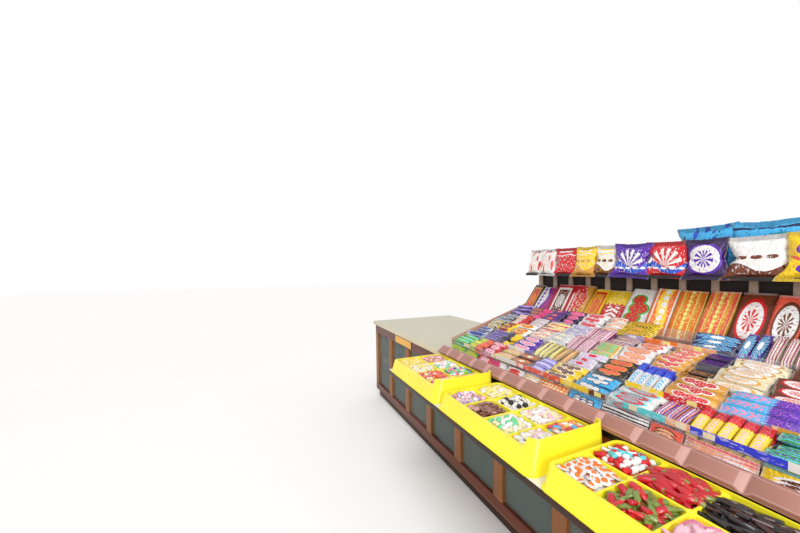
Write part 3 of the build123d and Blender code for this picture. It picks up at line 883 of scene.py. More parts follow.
class COUNTER_OT_worktop(bpy.types.Operator):
    """Worktop with its pale edge band and dark strip"""

    bl_idname = "counter.worktop"
    bl_label = "Worktop"

    def execute(self, context):
        own = finishes()
        top = laminate("worktop_laminate", own.worktop, fleck=shade(own.worktop, 0.35))
        band = moulded("edge_band", own.edge_band, roughness=0.3)
        dark = moulded("dark_plastic", display().dark_plastic, roughness=0.5)
        softened("worktop", top, "worktop", width=0.0012)
        softened("worktop_edge_band", band, "edge_band", width=0.0012)
        # The strip under the moulding and the top shelf's front edge are coloured near black.
        coat(dark, "dark_edge_strip", "top_shelf_edge")
        return {"FINISHED"}


class COUNTER_OT_plate(bpy.types.Operator):
    """Small bare plate with a dark border on the top rail"""

    bl_idname = "counter.plate"
    bl_label = "Rail plate"

    def execute(self, context):
        own = finishes()
        low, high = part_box("front_top_rail")
        middle = (low[2] + high[2]) / 2
        border = moulded("plate_border", display().dark_plastic, roughness=0.4)
        face = moulded("plate_face", own.plate)
        for name, material, slot, inset, depth in (
            ("rail_plate_border", border, "dark_plastic", 0.0, 0.0016),
            ("rail_plate", face, "price_card", 0.005, 0.0026),
        ):
            centre = (own.plate_place, low[1] - depth / 2, middle)
            size = (own.plate_length - 2 * inset, depth, own.plate_height - 2 * inset)
            finished(slab(centre, size), name, material, slot)
        return {"FINISHED"}


class COUNTER_OT_ledge(bpy.types.Operator):
    """Ledge for the trays, its riser and its brackets"""

    bl_idname = "counter.ledge"
    bl_label = "Ledge"

    def execute(self, context):
        own = finishes()
        lengthways = grain("X", across=10, along=0.9)
        top = laminate("ledge_laminate", own.ledge, fleck=shade(own.ledge, 0.6))
        edge = wood("ledge_edge_wood", own.plinth_wood, lengthways)
        riser = wood("riser_wood", own.riser_wood, lengthways)
        steel = enamel("bracket_steel", linear(34, 34, 36))
        softened("ledge_board", top, "ledge_top", width=0.001)
        softened("ledge_edge_strip", edge, "ledge_edge", width=0.0015)
        coat(riser, "ledge_riser")
        softened("ledge_brackets", steel, "bracket_steel", width=0.0008)
        return {"FINISHED"}


class COUNTER_OT_moulding(bpy.types.Operator):
    """Brown moulding in chunks along the worktop's edge"""

    bl_idname = "counter.moulding"
    bl_label = "Moulding"

    def execute(self, context):
        own = display()
        finish = Finish("brown_moulding", 0.4, Coat_Weight=0.12, Coat_Roughness=0.3)
        where = finish.place()
        tone = finish.noise(where, scale=7, detail=3)
        body = finish.drift(tone, own.moulding, low=0.9, high=1.1)
        # Painted highlight: the marked faces are mixed towards the pale highlight colour.
        finish.paint(finish.mix(finish.carried("facet_highlight", "Fac"), body, own.facet_highlight))
        finish.sheen(tone, least=0.32, spread=0.2)
        finish.relief(finish.noise(where, scale=160, detail=3), depth=0.0003, strength=0.5)
        piece = softened("chunk_moulding", finish.material, "brown_plastic", width=0.003, segments=3)
        self.paint_highlights(piece.data)
        return {"FINISHED"}

    def paint_highlights(self, mesh):
        """Marks how much painted highlight each face gets: the bevelled near ends most, as a painted
        reflection, then the narrow bevel strips along the edges, as painted highlight lines.
        """
        near_end_reflection, wear_and_highlight, edge_breadth = 0.5, 0.38, 0.002
        facet_highlights = mesh.attributes.new("facet_highlight", "FLOAT", "FACE")
        points = mesh.vertices
        for polygon, value in zip(mesh.polygons, facet_highlights.data):
            longest = max((points[a].co - points[b].co).length for a, b in polygon.edge_keys)
            # Painted reflection on the bevelled near ends that face along +X.
            if 0.25 < polygon.normal.x < 0.95:
                value.value = near_end_reflection
            # Painted highlight lines on the narrow bevel strips along the edges.
            elif polygon.area < longest * edge_breadth and polygon.normal.y < 0.4:
                value.value = wear_and_highlight


class COUNTER_OT_trays(bpy.types.Operator):
    """Yellow sweet trays"""

    bl_idname = "counter.trays"
    bl_label = "Sweet trays"

    def execute(self, context):
        yellow = moulded(
            "yellow_plastic", display().tray, roughness=0.3, texture=700, depth=0.00015,
            Subsurface_Weight=0.08, Subsurface_Scale=0.01)
        for number in (1, 2, 3):
            softened(f"sweet_tray_{number}", yellow, "yellow_plastic", width=0.0022, segments=3)
        return {"FINISHED"}


# Each sweet lies along X: how many sides it has, then its rings in millimetres. A ring gives its x,
# width and thickness, and if it lies off the line, its sideways shift and its lift too.
SWEET_RINGS = {
    "gum": (8, (
        (-11, 6, 5), (-8, 18, 14), (0, 24, 18), (8, 18, 14), (11, 6, 5))),
    "mouse": (8, (
        (-20, 4, 3), (-12, 16, 12), (0, 21, 16), (12, 18, 13), (19, 7, 6))),
    "button": (10, (
        (-4.5, 14, 14), (-3, 24, 24), (1, 26, 26), (4.5, 6, 6))),
    "shrimp": (8, (
        (-24, 6, 5, 8, 0), (-14, 18, 11, 2, 1), (0, 22, 13, -3, 2), (13, 19, 11, 1, 1),
        (24, 8, 6, 9, 0))),
    "chilli": (8, (
        (-40, 2, 2, 12, -2), (-26, 12, 11, 5, 0), (-8, 19, 17, 0, 3), (12, 22, 20, 0, 4),
        (26, 21, 19, 3, 3), (31, 14, 13, 5, 2), (40, 7, 7, 9, 1))),
    "bottle": (8, (
        (-22, 16, 12), (-19, 20, 14), (2, 20, 14), (10, 10, 9), (20, 8, 8), (24, 10, 9))),
    "stick": (6, (
        (-36, 12, 12, 3, 0), (-14, 12, 12, -2, 1), (12, 12, 12, -1, 2), (36, 12, 12, 5, 0))),
    "bit": (6, (
        (-6, 7, 6), (0, 12, 10), (6, 7, 6))),
    "white_of_egg": (10, (
        (-2, 30, 34), (1.5, 33, 38, 2, 0), (3, 16, 18, 1, 0))),
    "yolk": (8, (
        (2.2, 17, 17, 1, 0), (6.5, 13, 13, 1, 0), (8, 5, 5, 1, 0))),
}
LAID_FLAT = ("button", "white_of_egg", "yolk")
STALK_START = 0.0285


def sweet_models():
    """One small model of each kind of sweet."""
    models = {}
    for name, (sides, rings) in SWEET_RINGS.items():
        in_metres = [[value / 1000 for value in (*ring, 0, 0)[:5]] for ring in rings]
        models[name] = ringed(name, sides, in_metres)
    for name in LAID_FLAT:
        models[name].data.transform(Matrix.Rotation(-QUARTER_TURN, 4, "Y"))
    for model in models.values():
        smooth(model, math.radians(60))
    return models


# Each filling: the models it is made of, the paints, then how glossy it is.
FILLINGS = {
    "cream_gums": (("gum", "mouse"), ("cream", "pale_yellow", "white"), "smooth"),
    "yellow_gums": (("gum",), ("yellow", "pale_yellow", "pale_yellow"), "sugared"),
    "pastel_gums": (("gum", "mouse"), ("white", "pale_pink", "white", "mint", "white"), "sugared"),
    "pink_bits": (("gum", "bit"), ("blush", "peach", "pale_pink", "blush"), "sugared"),
    "peach_gums": (("gum",), ("peach", "orange", "pale_pink"), "sugared"),
    "white_mice": (("mouse",), ("white", "white", "cream", "pale_pink"), "smooth"),
    "minty_mice": (("mouse", "gum"), ("white", "white", "mint", "cream"), "smooth"),
    "pink_shrimps": (("shrimp",), ("pale_pink", "pink", "pale_pink"), "smooth"),
    "orange_bits": (("bit", "gum"), ("coral", "orange", "red", "cream"), "sugared"),
    "wrapped": (("mouse", "gum"), ("purple", "mint", "white", "pink", "lime"), "smooth"),
    "speckled": (("bit", "gum"), ("white", "lavender", "white", "pale_pink", "blush"), "smooth"),
    "black_specks": (("bit", "gum"), ("white", "black", "white", "white", "cream"), "smooth"),
    "brown_buttons": (("button",), ("taupe", "brown", "taupe", "blush"), "smooth"),
    "bright_gums": (("gum", "mouse"), ("orange", "rose", "white", "red", "sky", "yellow"), "sugared"),
    "fried_eggs": (("white_of_egg",), ("white",), "smooth"),
    "red_mix": (("mouse", "gum", "bottle"), ("red", "white", "cyan", "red", "white"), "smooth"),
    "bottles": (("bottle",), ("olive", "red", "olive", "deep_red"), "glossy"),
    "chillies": (("chilli",), ("deep_red", "deep_red", "red"), "glossy"),
    "liquorice": (("stick",), ("black", "black", "cocoa", "black"), "glossy"),
}
BIG_SWEETS = ("chillies", "bottles", "liquorice", "fried_eggs", "pink_shrimps")
LONG_SWEETS = ("stick", "chilli")


def sweet_heap(models, low, high, filling, drawn):
    """Sweets scattered over one pocket's heap, in two layers that rise to the middle."""
    kinds, paints, gloss = FILLINGS[filling]
    across = goods().sweet_rows
    if filling in BIG_SWEETS:
        across -= 1
    margin, lift, layer_height = 0.012, 0.002, 0.01
    width, depth = high.x - low.x - 2 * margin, high.y - low.y - 2 * margin
    deep = max(2, round(across * depth / width))
    pieces = []
    for layer in range(2):
        for i in range(across):
            for j in range(deep):
                u, v = (i + drawn.uniform(0.2, 0.8)) / across, (j + drawn.uniform(0.2, 0.8)) / deep
                crown = 1 - max(abs(2 * u - 1), abs(2 * v - 1)) ** 2
                z = high.z + lift + goods().heap_rise * crown + (layer - 0.5) * layer_height
                kind = drawn.choice(kinds)
                turn = drawn.uniform(0, 2 * math.pi)
                tilt, roll = drawn.uniform(-0.5, 0.5), drawn.uniform(-0.45, 0.45)
                if kind in LONG_SWEETS:
                    turn = drawn.uniform(-0.5, 0.5) + (0 if drawn.random() < 0.75 else math.pi)
                    tilt, roll = tilt / 2, roll / 2
                size = drawn.uniform(0.9, 1.15)
                x, y = low.x + margin + u * width, low.y + margin + v * depth
                matrix = seat(x, y, z, tilt, turn, roll, (size,) * 3)
                film = PAINTS[drawn.choice(paints)]
                pieces.append(copy_of(models[kind], matrix, film=film))
                if kind == "white_of_egg":
                    pieces.append(copy_of(models["yolk"], matrix, film=PAINTS["orange"]))
                if kind == "chilli":
                    green_end(pieces[-1], models[kind])
    return pieces, gloss


def green_end(piece, model):
    """Turns the stalk end of a chilli olive green."""
    attribute = piece.data.attributes["film"]
    for index, vertex in enumerate(model.data.vertices):
        if vertex.co.x > STALK_START:
            attribute.data[index].color = (*PAINTS["olive"], 1)


def heap_bed(low, high, drawn):
    """A lumpy mound under the sweets, so that no gap shows the tray's floor."""
    deselect()
    middle = (low + high) / 2
    cells, overlap, sink, lumps = 8, 0.005, 0.004, 0.002
    bpy.ops.mesh.primitive_grid_add(
        x_subdivisions=cells, y_subdivisions=cells, size=1, location=(middle.x, middle.y, low.z),
    )
    bed = bpy.context.object
    bed.scale = (high.x - low.x + overlap, high.y - low.y + overlap, 1)
    bpy.ops.object.transform_apply(location=True, rotation=False, scale=True)
    for vertex in bed.data.vertices:
        u = abs(2 * (vertex.co.x - middle.x) / (high.x - low.x))
        v = abs(2 * (vertex.co.y - middle.y) / (high.y - low.y))
        crown = max(0.0, 1 - max(u, v) ** 2)
        vertex.co.z = high.z - sink + goods().heap_rise * crown + drawn.uniform(-lumps, lumps)
    return bed


class COUNTER_OT_sweets(bpy.types.Operator):
    """Loose sweets in the trays' pockets"""

    bl_idname = "counter.sweets"
    bl_label = "Sweets"

    def execute(self, context):
        drawn = random.Random(goods().seed)
        models = sweet_models()
        coats = {
            "smooth": sweet_coat(
                "sweet_smooth", roughness=0.42, sugar=0.0, Subsurface_Weight=0.1, Subsurface_Scale=0.004),
            "sugared": sweet_coat("sweet_sugared", roughness=0.6, sugar=0.4),
            "glossy": sweet_coat("sweet_glossy", roughness=0.2, sugar=0.0, Coat_Weight=0.4),
        }
        for tray, fillings in enumerate(TRAY_SWEETS, start=1):
            node = f"sweets_{tray}"
            groups = {gloss: [] for gloss in coats}
            for points, filling in zip(solids(node), fillings.split()):
                low, high = corners(points)
                pieces, gloss = sweet_heap(models, low, high, filling, drawn)
                bed = heap_bed(low, high, drawn)
                wear_colours(bed, film=PAINTS[FILLINGS[filling][1][0]])
                groups[gloss] += [*pieces, bed]
            for gloss, pieces in groups.items():
                if pieces:
                    finished(joined(pieces), f"{node}_{gloss}", coats[gloss], "sweets", node)
        discard(*models.values())
        return {"FINISHED"}


class COUNTER_OT_steps(bpy.types.Operator):
    """Stepped display with its risers, ends and back"""

    bl_idname = "counter.steps"
    bl_label = "Steps"

    def execute(self, context):
        brown = moulded("step_plastic", display().step, roughness=0.45)
        softened("display_end_panels", brown, "step_plastic", width=0.001)
        coat(brown, "step_treads", "step_risers", "step_stringers")
        # The back board's near-black stain is painted shade for the dark gap behind the slats.
        back = wood("back_panel", display().back_panel, grain("X", across=6, along=0.8), roughness=0.6)
        coat(back, "display_back")
        return {"FINISHED"}


class COUNTER_OT_lips(bpy.types.Operator):
    """Clear lips and dividers of the display"""

    bl_idname = "counter.lips"
    bl_label = "Clear lips"

    def execute(self, context):
        coat(clear("clear_plastic", display().lip, alpha=0.1), "clear_lips", "clear_dividers")
        return {"FINISHED"}


CARD_GAP = 0.0006
TICKET_WIDTH, TICKET_PROUD, TICKET_INSET = 0.034, 0.0012, 0.003


class COUNTER_OT_price_strips(bpy.types.Operator):
    """Coloured price strips with their small tickets"""

    bl_idname = "counter.price_strips"
    bl_label = "Price strips"

    def execute(self, context):
        strips = sorted(solids("price_strips"), key=lambda points: min(p.z for p in points))
        drawn = random.Random(goods().seed + 1)
        pieces = []
        for points, paints in zip(strips, map(str.split, STRIP_PAINTS)):
            low, high = corners(points)
            pitch = (high.x - low.x) / len(paints)
            for i, paint in enumerate(paints):
                if paint == "-":
                    continue
                x = low.x + i * pitch
                pieces.append(self.card(x, low.x + (i + 1) * pitch, low, high, PAINTS[paint]))
                if paint == paints[i - 1]:
                    continue
                x = low.x + (i + drawn.uniform(0.3, 0.6)) * pitch
                ticket = PAINTS[drawn.choice(("white", "cream", "pale_yellow"))]
                pieces.append(
                    self.card(x, x + TICKET_WIDTH, low, high, ticket, TICKET_PROUD, TICKET_INSET))
        finished(joined(pieces), "price_strip_cards", self.print_card(), "price_card", "price_strips")
        return {"FINISHED"}

    def print_card(self):
        """Card in the colour that each one carries, with pale flecks of print."""
        finish = Finish("price_card", 0.5)
        where = finish.place()
        tone = finish.noise(where, scale=30, detail=3)
        flecks = finish.noise(finish.place((1, 1, 2.5)), scale=46, detail=1) > 0.59
        printed = finish.mix(flecks * 0.42, finish.carried("film"), PAINTS["white"])
        finish.paint(finish.product(printed, finish.mix(tone, grey(0.84), grey(1))))
        finish.sheen(tone, least=0.38, spread=0.2)
        finish.relief(finish.noise(where, scale=14, detail=2), depth=0.001, strength=0.4)
        return finish.material

    def card(self, x_low, x_high, low, high, rgb, proud=0.0, inset=0.0):
        """One flat card on the front of a strip."""
        centre = ((x_low + x_high) / 2, (low.y + high.y) / 2 - proud, (low.z + high.z) / 2)
        piece = slab(centre, (x_high - x_low - CARD_GAP, high.y - low.y, high.z - low.z - 2 * inset))
        wear_colours(piece, film=rgb)
        return piece


def packet_model(length, width, thickness):
    """A bar in flow-wrap film: a full middle and flat crimped ends."""
    half, fin, crimped, folded = length / 2, 0.011, 0.0012, 0.0016
    end = [
        (half, width * 0.97, crimped, 0, 0), (half - fin, width * 0.94, folded, 0, 0),
        (half - 2.1 * fin, width * 0.96, thickness * 0.86, 0, 0), (half * 0.3, width, thickness, 0, 0),
    ]
    other_end = [(-x, *ring) for x, *ring in end]
    model = ringed("packet", 8, other_end + end[::-1])
    map_flat(model, length, width)
    smooth(model, math.radians(50))
    return model


def carton_model(length, width, thickness):
    """A small carton with eased edges."""
    model = slab((0, 0, 0), (length, width, thickness))
    model.name = "carton"
    bpy.ops.object.mode_set(mode="EDIT")
    bpy.ops.mesh.select_all(action="SELECT")
    bpy.ops.mesh.bevel(offset=0.0012, segments=1)
    bpy.ops.object.mode_set(mode="OBJECT")
    map_flat(model, length, width)
    smooth(model)
    return model


class Shelf:
    """One stack's room on a tier: its ends, its slope and its dress."""

    def __init__(self, points, dress, drawn):
        self.low, self.high = corners(points)
        self.z_front = max(p.z for p in points if p.y < self.low.y + 0.001)
        self.way, self.layout, *self.paints = dress.split()
        self.drawn = drawn
        self.middle = [(low + high) / 2 for low, high in zip(self.low, self.high)]
        self.length = self.high.x - self.low.x
        self.rise = self.high.z - self.z_front
        self.run = self.high.y - self.low.y
        self.slope = math.atan2(self.rise, self.run)

    def dress(self):
        film, mark, trim = (PAINTS[paint] for paint in self.paints)
        light = self.drawn.uniform(0.84, 1.06)
        return dict(
            film=shade(film, light), mark=shade(mark, light), trim=trim,
            layout=float(PRINT_LAYOUTS.index(self.layout)),
        )

    def on_slope(self, share, sink):
        """Y and Z at a share of the slope, sunk below it."""
        return self.low.y + share * self.run, self.z_front + share * self.rise - sink

    def stray(self, most):
        """A random step either way."""
        return self.drawn.uniform(-most, most)

    def copies(self, model, matrices):
        """A copy of the model in each place, in this stack's dress; the model goes afterwards."""
        pieces = [copy_of(model, matrix, **self.dress()) for matrix in matrices]
        discard(model)
        return pieces


def rows_of_packets(shelf, width, thickness, spread):
    """Packets along X in three rows up the slope, two layers deep, and one that stands behind the lip."""
    x, rows, extra_lean = shelf.middle[0], 3, 0.24

    def places():
        for row in range(rows):
            for layer in range(2):
                y, z = shelf.on_slope((row + 0.5) / rows, thickness * (0.35 + 0.9 * layer))
                turn = shelf.stray(spread)
                yield seat(
                    x + shelf.stray(0.007), y + shelf.stray(0.004), z + shelf.drawn.uniform(-0.002, 0.004),
                    tilt=shelf.slope + extra_lean + shelf.stray(0.2), turn=turn, roll=shelf.stray(0.07),
                    size=(0.98 - abs(turn) * 0.2, 1, 1))
        yield seat(
            x, shelf.low.y + thickness * 0.3, (shelf.low.z + shelf.z_front) / 2,
            tilt=math.radians(84), size=(0.98, 1, 0.5))

    return shelf.copies(packet_model(shelf.length * 1.01, width, thickness), places())


def upright_packets(shelf, pitch, thickness):
    """Packets that lie side by side up the slope, in two layers."""
    model = packet_model(math.hypot(shelf.run, shelf.rise) * 1.08, pitch * 0.98, thickness)
    model.data.transform(Matrix.Rotation(QUARTER_TURN, 4, "Z"))
    count = max(2, round(shelf.length / pitch))
    step = shelf.length / count

    def places():
        for layer in range(2):
            for i in range(count):
                y, z = shelf.on_slope(0.5, thickness * (0.5 + layer))
                yield seat(
                    shelf.low.x + (i + 0.5) * step, y, z + shelf.stray(0.003),
                    tilt=shelf.slope + shelf.stray(0.04), turn=shelf.stray(0.07), roll=shelf.stray(0.15))

    return shelf.copies(model, places())


def boxed(shelf):
    """Two cartons that lie on the slope, one before the other, over a lower pair."""
    thickness = 0.024
    model = carton_model(shelf.length * 0.97, math.hypot(shelf.run, shelf.rise) / 2 * 0.98, thickness)

    def places():
        for share in (0.25, 0.75):
            for layer in range(2):
                y, z = shelf.on_slope(share, thickness * (0.5 + layer))
                tilt = shelf.slope - 0.08 + shelf.stray(0.02)
                yield seat(shelf.middle[0], y, z, tilt, turn=shelf.stray(0.03))

    return shelf.copies(model, places())


def loose_sticks(shelf):
    """A few narrow packets left on an almost empty tread."""
    count, pitch, inset, lift = 4, 0.017, 0.014, 0.007

    def places():
        for i in range(count):
            yield seat(
                shelf.middle[0] + shelf.stray(0.008), shelf.low.y + inset + i * pitch,
                shelf.low.z + lift, turn=shelf.stray(0.12))

    return shelf.copies(packet_model(shelf.length * 0.8, width=0.018, thickness=0.011), places())


def leaning_blocks(shelf, thickness):
    """Large flat packets that stand on the last tread and lean back, one before the other."""
    x, y, z = shelf.middle
    rise, run = shelf.high.z - shelf.low.z, shelf.run - 2 * thickness
    model = packet_model(math.hypot(rise, run), shelf.length * 1.06, thickness)
    model.data.transform(Matrix.Rotation(QUARTER_TURN, 4, "Z"))

    def places():
        for layer in range(2):
            yield seat(
                x + shelf.stray(0.004), y + (layer - 0.5) * thickness * 1.2,
                z - layer * 0.006, tilt=math.atan2(rise, run) + shelf.stray(0.03),
                turn=shelf.stray(0.04), roll=shelf.stray(0.05))

    return shelf.copies(model, places())


def front_places(shelf, height):
    """Where two packets stand on the worktop, each leaning back, the second before the first."""
    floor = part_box("worktop")[1][2]
    lean, gap = math.radians(68), 0.02
    forward, down, nod = 0.011, 0.008, 0.25
    for layer in range(2):
        yield seat(
            shelf.middle[0] + shelf.stray(0.008), shelf.low.y - gap - layer * forward,
            floor + height / 2 - layer * down, tilt=lean - layer * nod, turn=shelf.stray(0.02),
            roll=shelf.stray(0.04))


def front_row(groups, thickness, drawn):
    """Packets that stand on the worktop before the first step, two before each stack."""
    height = 0.058
    pieces = []
    for points, dress in zip(groups, FRONT_GOODS):
        shelf = Shelf(points, "front " + dress, drawn)
        model = packet_model(shelf.length, height, thickness)
        pieces += shelf.copies(model, front_places(shelf, height))
    return pieces


class COUNTER_OT_packets(bpy.types.Operator):
    """Stacks of packets on the six tiers"""

    bl_idname = "counter.packets"
    bl_label = "Packets"

    def execute(self, context):
        own = goods()
        film = printed_film()
        drawn = random.Random(own.seed + 2)
        for tier, dresses in enumerate(TIER_GOODS, start=1):
            node = f"packets_tier_{tier}"
            groups = solids(node)
            if len(groups) != len(dresses):
                raise RuntimeError(f"{node} has {len(groups)} stacks, and {len(dresses)} are dressed")
            pieces = []
            for points, dress in zip(groups, dresses):
                shelf = Shelf(points, dress, drawn)
                if shelf.way == "block":
                    pieces += leaning_blocks(shelf, own.block_thickness)
                elif shelf.way == "upright":
                    pieces += upright_packets(shelf, own.upright_pitch, own.packet_thickness)
                elif shelf.way == "box":
                    pieces += boxed(shelf)
                elif shelf.way == "sticks":
                    pieces += loose_sticks(shelf)
                else:
                    spread = 0.36 if shelf.way == "jumble" else 0.09
                    pieces += rows_of_packets(shelf, own.packet_width, own.packet_thickness, spread)
            if tier == 1:
                pieces += front_row(groups, own.front_thickness, drawn)
            finished(joined(pieces), f"{node}_wrapped", film, "packet_film", node)
        return {"FINISHED"}


class COUNTER_OT_top_shelf(bpy.types.Operator):
    """Top shelf with its slats and posts"""

    bl_idname = "counter.top_shelf"
    bl_label = "Top shelf"

    def execute(self, context):
        metal = enamel("shelf_metal", display().shelf)
        for node in ("top_shelf", "shelf_posts"):
            softened(node, metal, "shelf_metal", width=0.0012)
        return {"FINISHED"}


BAG_WIDTH, BAG_HEIGHT, BAG_CELLS = 0.19, 0.2, 26
BAG_GAP = 0.006
BAG_RUMPLE = 0.0006
BAG_CLOTH = {
    "quality": 6, "mass": 0.08, "tension_stiffness": 40, "compression_stiffness": 40,
    "bending_stiffness": 0.15, "use_pressure": True,
}
FILLING_FRAMES = 25


def order_faces(piece):
    """Puts the faces in a fixed order, which extrude leaves to chance and cloth depends on."""
    rings = []
    for polygon in piece.data.polygons:
        ring = list(polygon.vertices)
        first = ring.index(min(ring))
        rings.append(ring[first:] + ring[:first])
    mesh = bpy.data.meshes.new(piece.name)
    mesh.from_pydata([vertex.co.copy() for vertex in piece.data.vertices], [], sorted(rings))
    piece.data = mesh


def flat_bag(width, height, cells):
    """Two sheets of film joined at their edges, standing in the XZ plane."""
    deselect()
    bpy.ops.mesh.primitive_grid_add(
        x_subdivisions=cells, y_subdivisions=round(cells * height / width), size=1,
        rotation=(QUARTER_TURN, 0, 0))
    bag = bpy.context.object
    bag.scale = (width, height, 1)
    bpy.ops.object.transform_apply(location=False, rotation=True, scale=True)
    bpy.ops.object.mode_set(mode="EDIT")
    bpy.ops.mesh.select_all(action="SELECT")
    bpy.ops.mesh.extrude_region_move(TRANSFORM_OT_translate={"value": (0, BAG_GAP, 0)})
    bpy.ops.mesh.select_all(action="SELECT")
    bpy.ops.mesh.normals_make_consistent(inside=False)
    bpy.ops.object.mode_set(mode="OBJECT")
    order_faces(bag)
    map_flat(bag, width, height, across="z")
    return bag


def fill_bag(bag, pressure, drawn):
    """Blows the bag up as cloth, so that its film wrinkles towards the seams."""
    for vertex in bag.data.vertices:
        vertex.co.y += drawn.uniform(-BAG_RUMPLE, BAG_RUMPLE)
    cloth = bag.modifiers.new("film", "CLOTH")
    for label, value in BAG_CLOTH.items():
        setattr(cloth.settings, label, value)
    cloth.settings.uniform_pressure_force = pressure
    cloth.settings.effector_weights.gravity = 0
    for number in range(1, FILLING_FRAMES + 1):
        bpy.context.scene.frame_set(number)
    activate(bag)
    bpy.ops.object.modifier_apply(modifier=cloth.name)
    bpy.context.scene.frame_set(1)


def crimp_bag(bag, seam):
    """Pulls the top and bottom edges out into flat crimped seams."""
    activate(bag)
    for side in (1, -1):
        bpy.ops.object.mode_set(mode="EDIT")
        bpy.ops.mesh.select_mode(type="FACE")
        bpy.ops.mesh.select_all(action="DESELECT")
        mesh = bmesh.from_edit_mesh(bag.data)
        uv = mesh.loops.layers.uv.active
        for face in mesh.faces:
            values = [loop[uv].uv.y for loop in face.loops]
            rim = min(values) > 0.999 if side > 0 else max(values) < 0.001
            face.select_set(rim)
        bpy.ops.mesh.extrude_region_move(TRANSFORM_OT_translate={"value": (0, 0, side * seam)})
        bpy.ops.transform.resize(value=(1.02, 0.12, 0.35))
        bpy.ops.object.mode_set(mode="OBJECT")
    smooth(bag, math.radians(55))


class COUNTER_OT_bags(bpy.types.Operator):
    """Filled bags on the top shelf"""

    bl_idname = "counter.bags"
    bl_label = "Bags"

    def execute(self, context):
        own = goods()
        drawn = random.Random(own.seed + 3)
        models = []
        for _ in range(2):
            bag = flat_bag(BAG_WIDTH, BAG_HEIGHT, BAG_CELLS)
            fill_bag(bag, own.bag_pressure, drawn)
            crimp_bag(bag, own.bag_seam)
            models.append(bag)
        film = bpy.data.materials["printed_film"]
        rooms = [corners(points) for points in solids("shelf_bags")]
        front_y = min(low.y for low, high in rooms)
        front = [room for room in rooms if room[0].y < front_y + own.bag_row_depth]
        back = [room for room in rooms if room[0].y >= front_y + own.bag_row_depth]
        pieces = []
        for row, dresses, hang in ((front, BAG_GOODS, own.bag_hang), (back, BACK_BAG_GOODS, 0.0)):
            for number, (room, dress) in enumerate(zip(row, dresses)):
                pieces.append(self.stand(models[number % 2], room, dress, drawn, hang, number % 2))
        finished(joined(pieces), "shelf_bags_filled", film, "bag_film", "shelf_bags")
        discard(*models)
        return {"FINISHED"}

    def stand(self, model, room, dress, drawn, hang, odd):
        """Stands a copy of a bag in its room, slumped, with its lower seam over the shelf's edge."""
        low, high = room
        layout, film, mark, trim = dress.split()
        own_low, own_high = corners([v.co for v in model.data.vertices])
        space, size = high - low, own_high - own_low
        wider = goods().bag_overlap
        fit = Matrix.Diagonal((space.x / size.x * wider, space.y / size.y, (space.z + hang) / size.z, 1))
        centre = Matrix.Translation(-(own_low + own_high) / 2)
        matrix = seat(
            (low.x + high.x) / 2, (low.y + high.y) / 2 - odd * 0.008, (low.z + high.z - hang) / 2,
            turn=drawn.uniform(-0.08, 0.08), roll=drawn.uniform(-0.035, 0.035))
        bag = copy_of(
            model, matrix @ fit @ centre, film=PAINTS[film], mark=PAINTS[mark], trim=PAINTS[trim],
            layout=float(PRINT_LAYOUTS.index(layout)))
        skew, nod, droop = drawn.uniform(-0.018, 0.018), drawn.uniform(0.0, 0.02), hang * 2.6
        for vertex in bag.data.vertices:
            share = (vertex.co.z - low.z + hang) / (space.z + hang)
            vertex.co.y += nod * share ** 2 - droop * max(0.0, 1 - share) ** 4
            vertex.co.x += skew * share
        return bag


# The photograph's viewpoint: its place in metres, its turns in radians, and how far its frame is shifted.
CAMERA_PLACE = (2.10, -1.45, 1.48)
CAMERA_YAW, CAMERA_PITCH, CAMERA_ROLL = -0.4763, -0.0479, -0.0055
CAMERA_SHIFT = (-0.05626, 0.0225)
SENSOR_WIDTH = 36


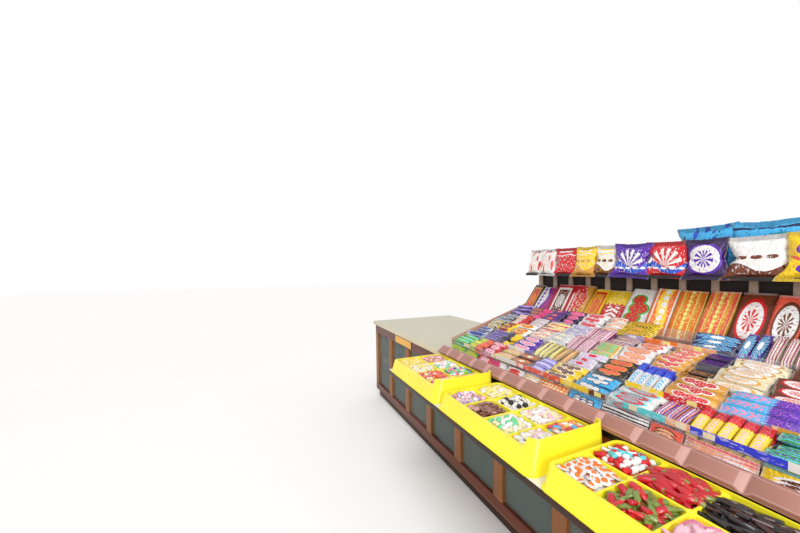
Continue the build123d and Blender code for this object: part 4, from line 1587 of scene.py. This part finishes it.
class COUNTER_OT_stage(bpy.types.Operator):
    """Pale floor, soft lamps and the camera"""

    bl_idname = "counter.stage"
    bl_label = "Stage"

    def execute(self, context):
        own = context.scene.stage_settings
        self.floor(own)
        self.light(own)
        self.camera(own)
        context.scene.view_settings.view_transform = "Standard"
        return {"FINISHED"}

    def floor(self, own):
        deselect()
        bpy.ops.mesh.primitive_plane_add(size=60, location=(0, 0, 0))
        floor = bpy.context.object
        floor.name = "floor"
        finish = Finish("floor_paint", 0.7)
        tone = finish.noise(finish.place(), scale=0.6, detail=3)
        finish.paint(finish.drift(tone, own.floor, low=0.98, high=1.02))
        floor.data.materials.append(finish.material)
        floor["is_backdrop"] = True

    def light(self, own):
        world = bpy.data.worlds.new("studio")
        bpy.context.scene.world = world
        world.use_nodes = True
        nodes, links = world.node_tree.nodes, world.node_tree.links
        background = nodes["Background"]
        path = nodes.new("ShaderNodeLightPath")
        strength = nodes.new("ShaderNodeMapRange")
        strength.inputs["To Min"].default_value = own.world_strength
        strength.inputs["To Max"].default_value = 1.0
        seen = path.outputs["Is Camera Ray"]
        for ray in ("Is Glossy Ray", "Is Transmission Ray"):
            either = nodes.new("ShaderNodeMath")
            either.operation = "MAXIMUM"
            links.new(seen, either.inputs[0])
            links.new(path.outputs[ray], either.inputs[1])
            seen = either.outputs[0]
        links.new(seen, strength.inputs["Value"])
        links.new(strength.outputs[0], background.inputs["Strength"])
        background.inputs["Color"].default_value = (1, 1, 1, 1)
        self.lamp(
            "daylight", "SUN", spot=(2.2, -1.2, 4.5), target=(0.3, 0.0, 0.8), energy=own.sun_strength,
            angle=math.radians(35))
        self.lamp(
            "aisle", "AREA", spot=(4.4, -1.7, 2.1), target=(0.8, -0.1, 1.0), energy=own.lamp_power, size=1.2)

    def lamp(self, name, kind, spot, target, energy, **settings):
        lamp = bpy.data.lights.new(name, kind)
        lamp.energy = energy
        for label, value in settings.items():
            setattr(lamp, label, value)
        holder = bpy.data.objects.new(name, lamp)
        holder.location = spot
        holder.rotation_euler = (Vector(target) - Vector(spot)).to_track_quat("-Z", "Y").to_euler()
        bpy.context.scene.collection.objects.link(holder)

    def camera(self, own):
        yaw, pitch, roll = CAMERA_YAW, CAMERA_PITCH, CAMERA_ROLL
        ahead = Vector((-math.cos(yaw) * math.cos(pitch), -math.sin(yaw) * math.cos(pitch), math.sin(pitch)))
        right = Vector((-math.sin(yaw), math.cos(yaw), 0))
        up = right.cross(ahead)
        side = right * math.cos(roll) + up * math.sin(roll)
        head = up * math.cos(roll) - right * math.sin(roll)
        data = bpy.data.cameras.new("photo_view")
        camera = bpy.data.objects.new("photo_view", data)
        camera.matrix_world = Matrix((side, head, -ahead)).transposed().to_4x4()
        camera.location = CAMERA_PLACE
        data.lens = own.lens
        data.sensor_width = SENSOR_WIDTH
        data.shift_x, data.shift_y = CAMERA_SHIFT
        bpy.context.scene.collection.objects.link(camera)
        bpy.context.scene.camera = camera


class COUNTER_PT_panel(bpy.types.Panel):
    """Lists the pieces of the counter"""

    bl_label = "Shop counter"
    bl_idname = "COUNTER_PT_panel"
    bl_space_type = "VIEW_3D"
    bl_region_type = "UI"
    bl_category = "Counter"

    def draw(self, context):
        for operator in OPERATORS:
            self.layout.operator(operator.bl_idname)
        for group in (finishes(), display(), goods(), context.scene.stage_settings):
            box = self.layout.box()
            for name in group.__annotations__:
                box.prop(group, name)


OPERATORS = (
    COUNTER_OT_woodwork, COUNTER_OT_glazing, COUNTER_OT_worktop, COUNTER_OT_plate, COUNTER_OT_ledge,
    COUNTER_OT_moulding, COUNTER_OT_trays, COUNTER_OT_sweets, COUNTER_OT_steps, COUNTER_OT_lips,
    COUNTER_OT_price_strips, COUNTER_OT_packets, COUNTER_OT_top_shelf, COUNTER_OT_bags,
    COUNTER_OT_stage,
)
GROUPS = (
    ("counter_finishes", CounterFinishes), ("display_finishes", DisplayFinishes),
    ("goods_sizes", GoodsSizes), ("stage_settings", StageSettings),
)


def register():
    for name, group in GROUPS:
        bpy.utils.register_class(group)
        setattr(bpy.types.Scene, name, PointerProperty(type=group))
    for cls in (*OPERATORS, COUNTER_PT_panel):
        bpy.utils.register_class(cls)


def unregister():
    for cls in reversed((*OPERATORS, COUNTER_PT_panel)):
        bpy.utils.unregister_class(cls)
    for name, group in reversed(GROUPS):
        delattr(bpy.types.Scene, name)
        bpy.utils.unregister_class(group)


def main():
    register()
    bpy.ops.counter.woodwork()
    bpy.ops.counter.glazing()
    bpy.ops.counter.worktop()
    bpy.ops.counter.plate()
    bpy.ops.counter.ledge()
    bpy.ops.counter.moulding()
    bpy.ops.counter.trays()
    bpy.ops.counter.sweets()
    bpy.ops.counter.steps()
    bpy.ops.counter.lips()
    bpy.ops.counter.price_strips()
    bpy.ops.counter.packets()
    bpy.ops.counter.top_shelf()
    bpy.ops.counter.bags()
    bpy.ops.counter.stage()
    boxes = {"cad": cad_box, "visual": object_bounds()}
    sizes = {name: [list(corner) for corner in box] for name, box in boxes.items()}


if __name__ == "__main__":
    main()
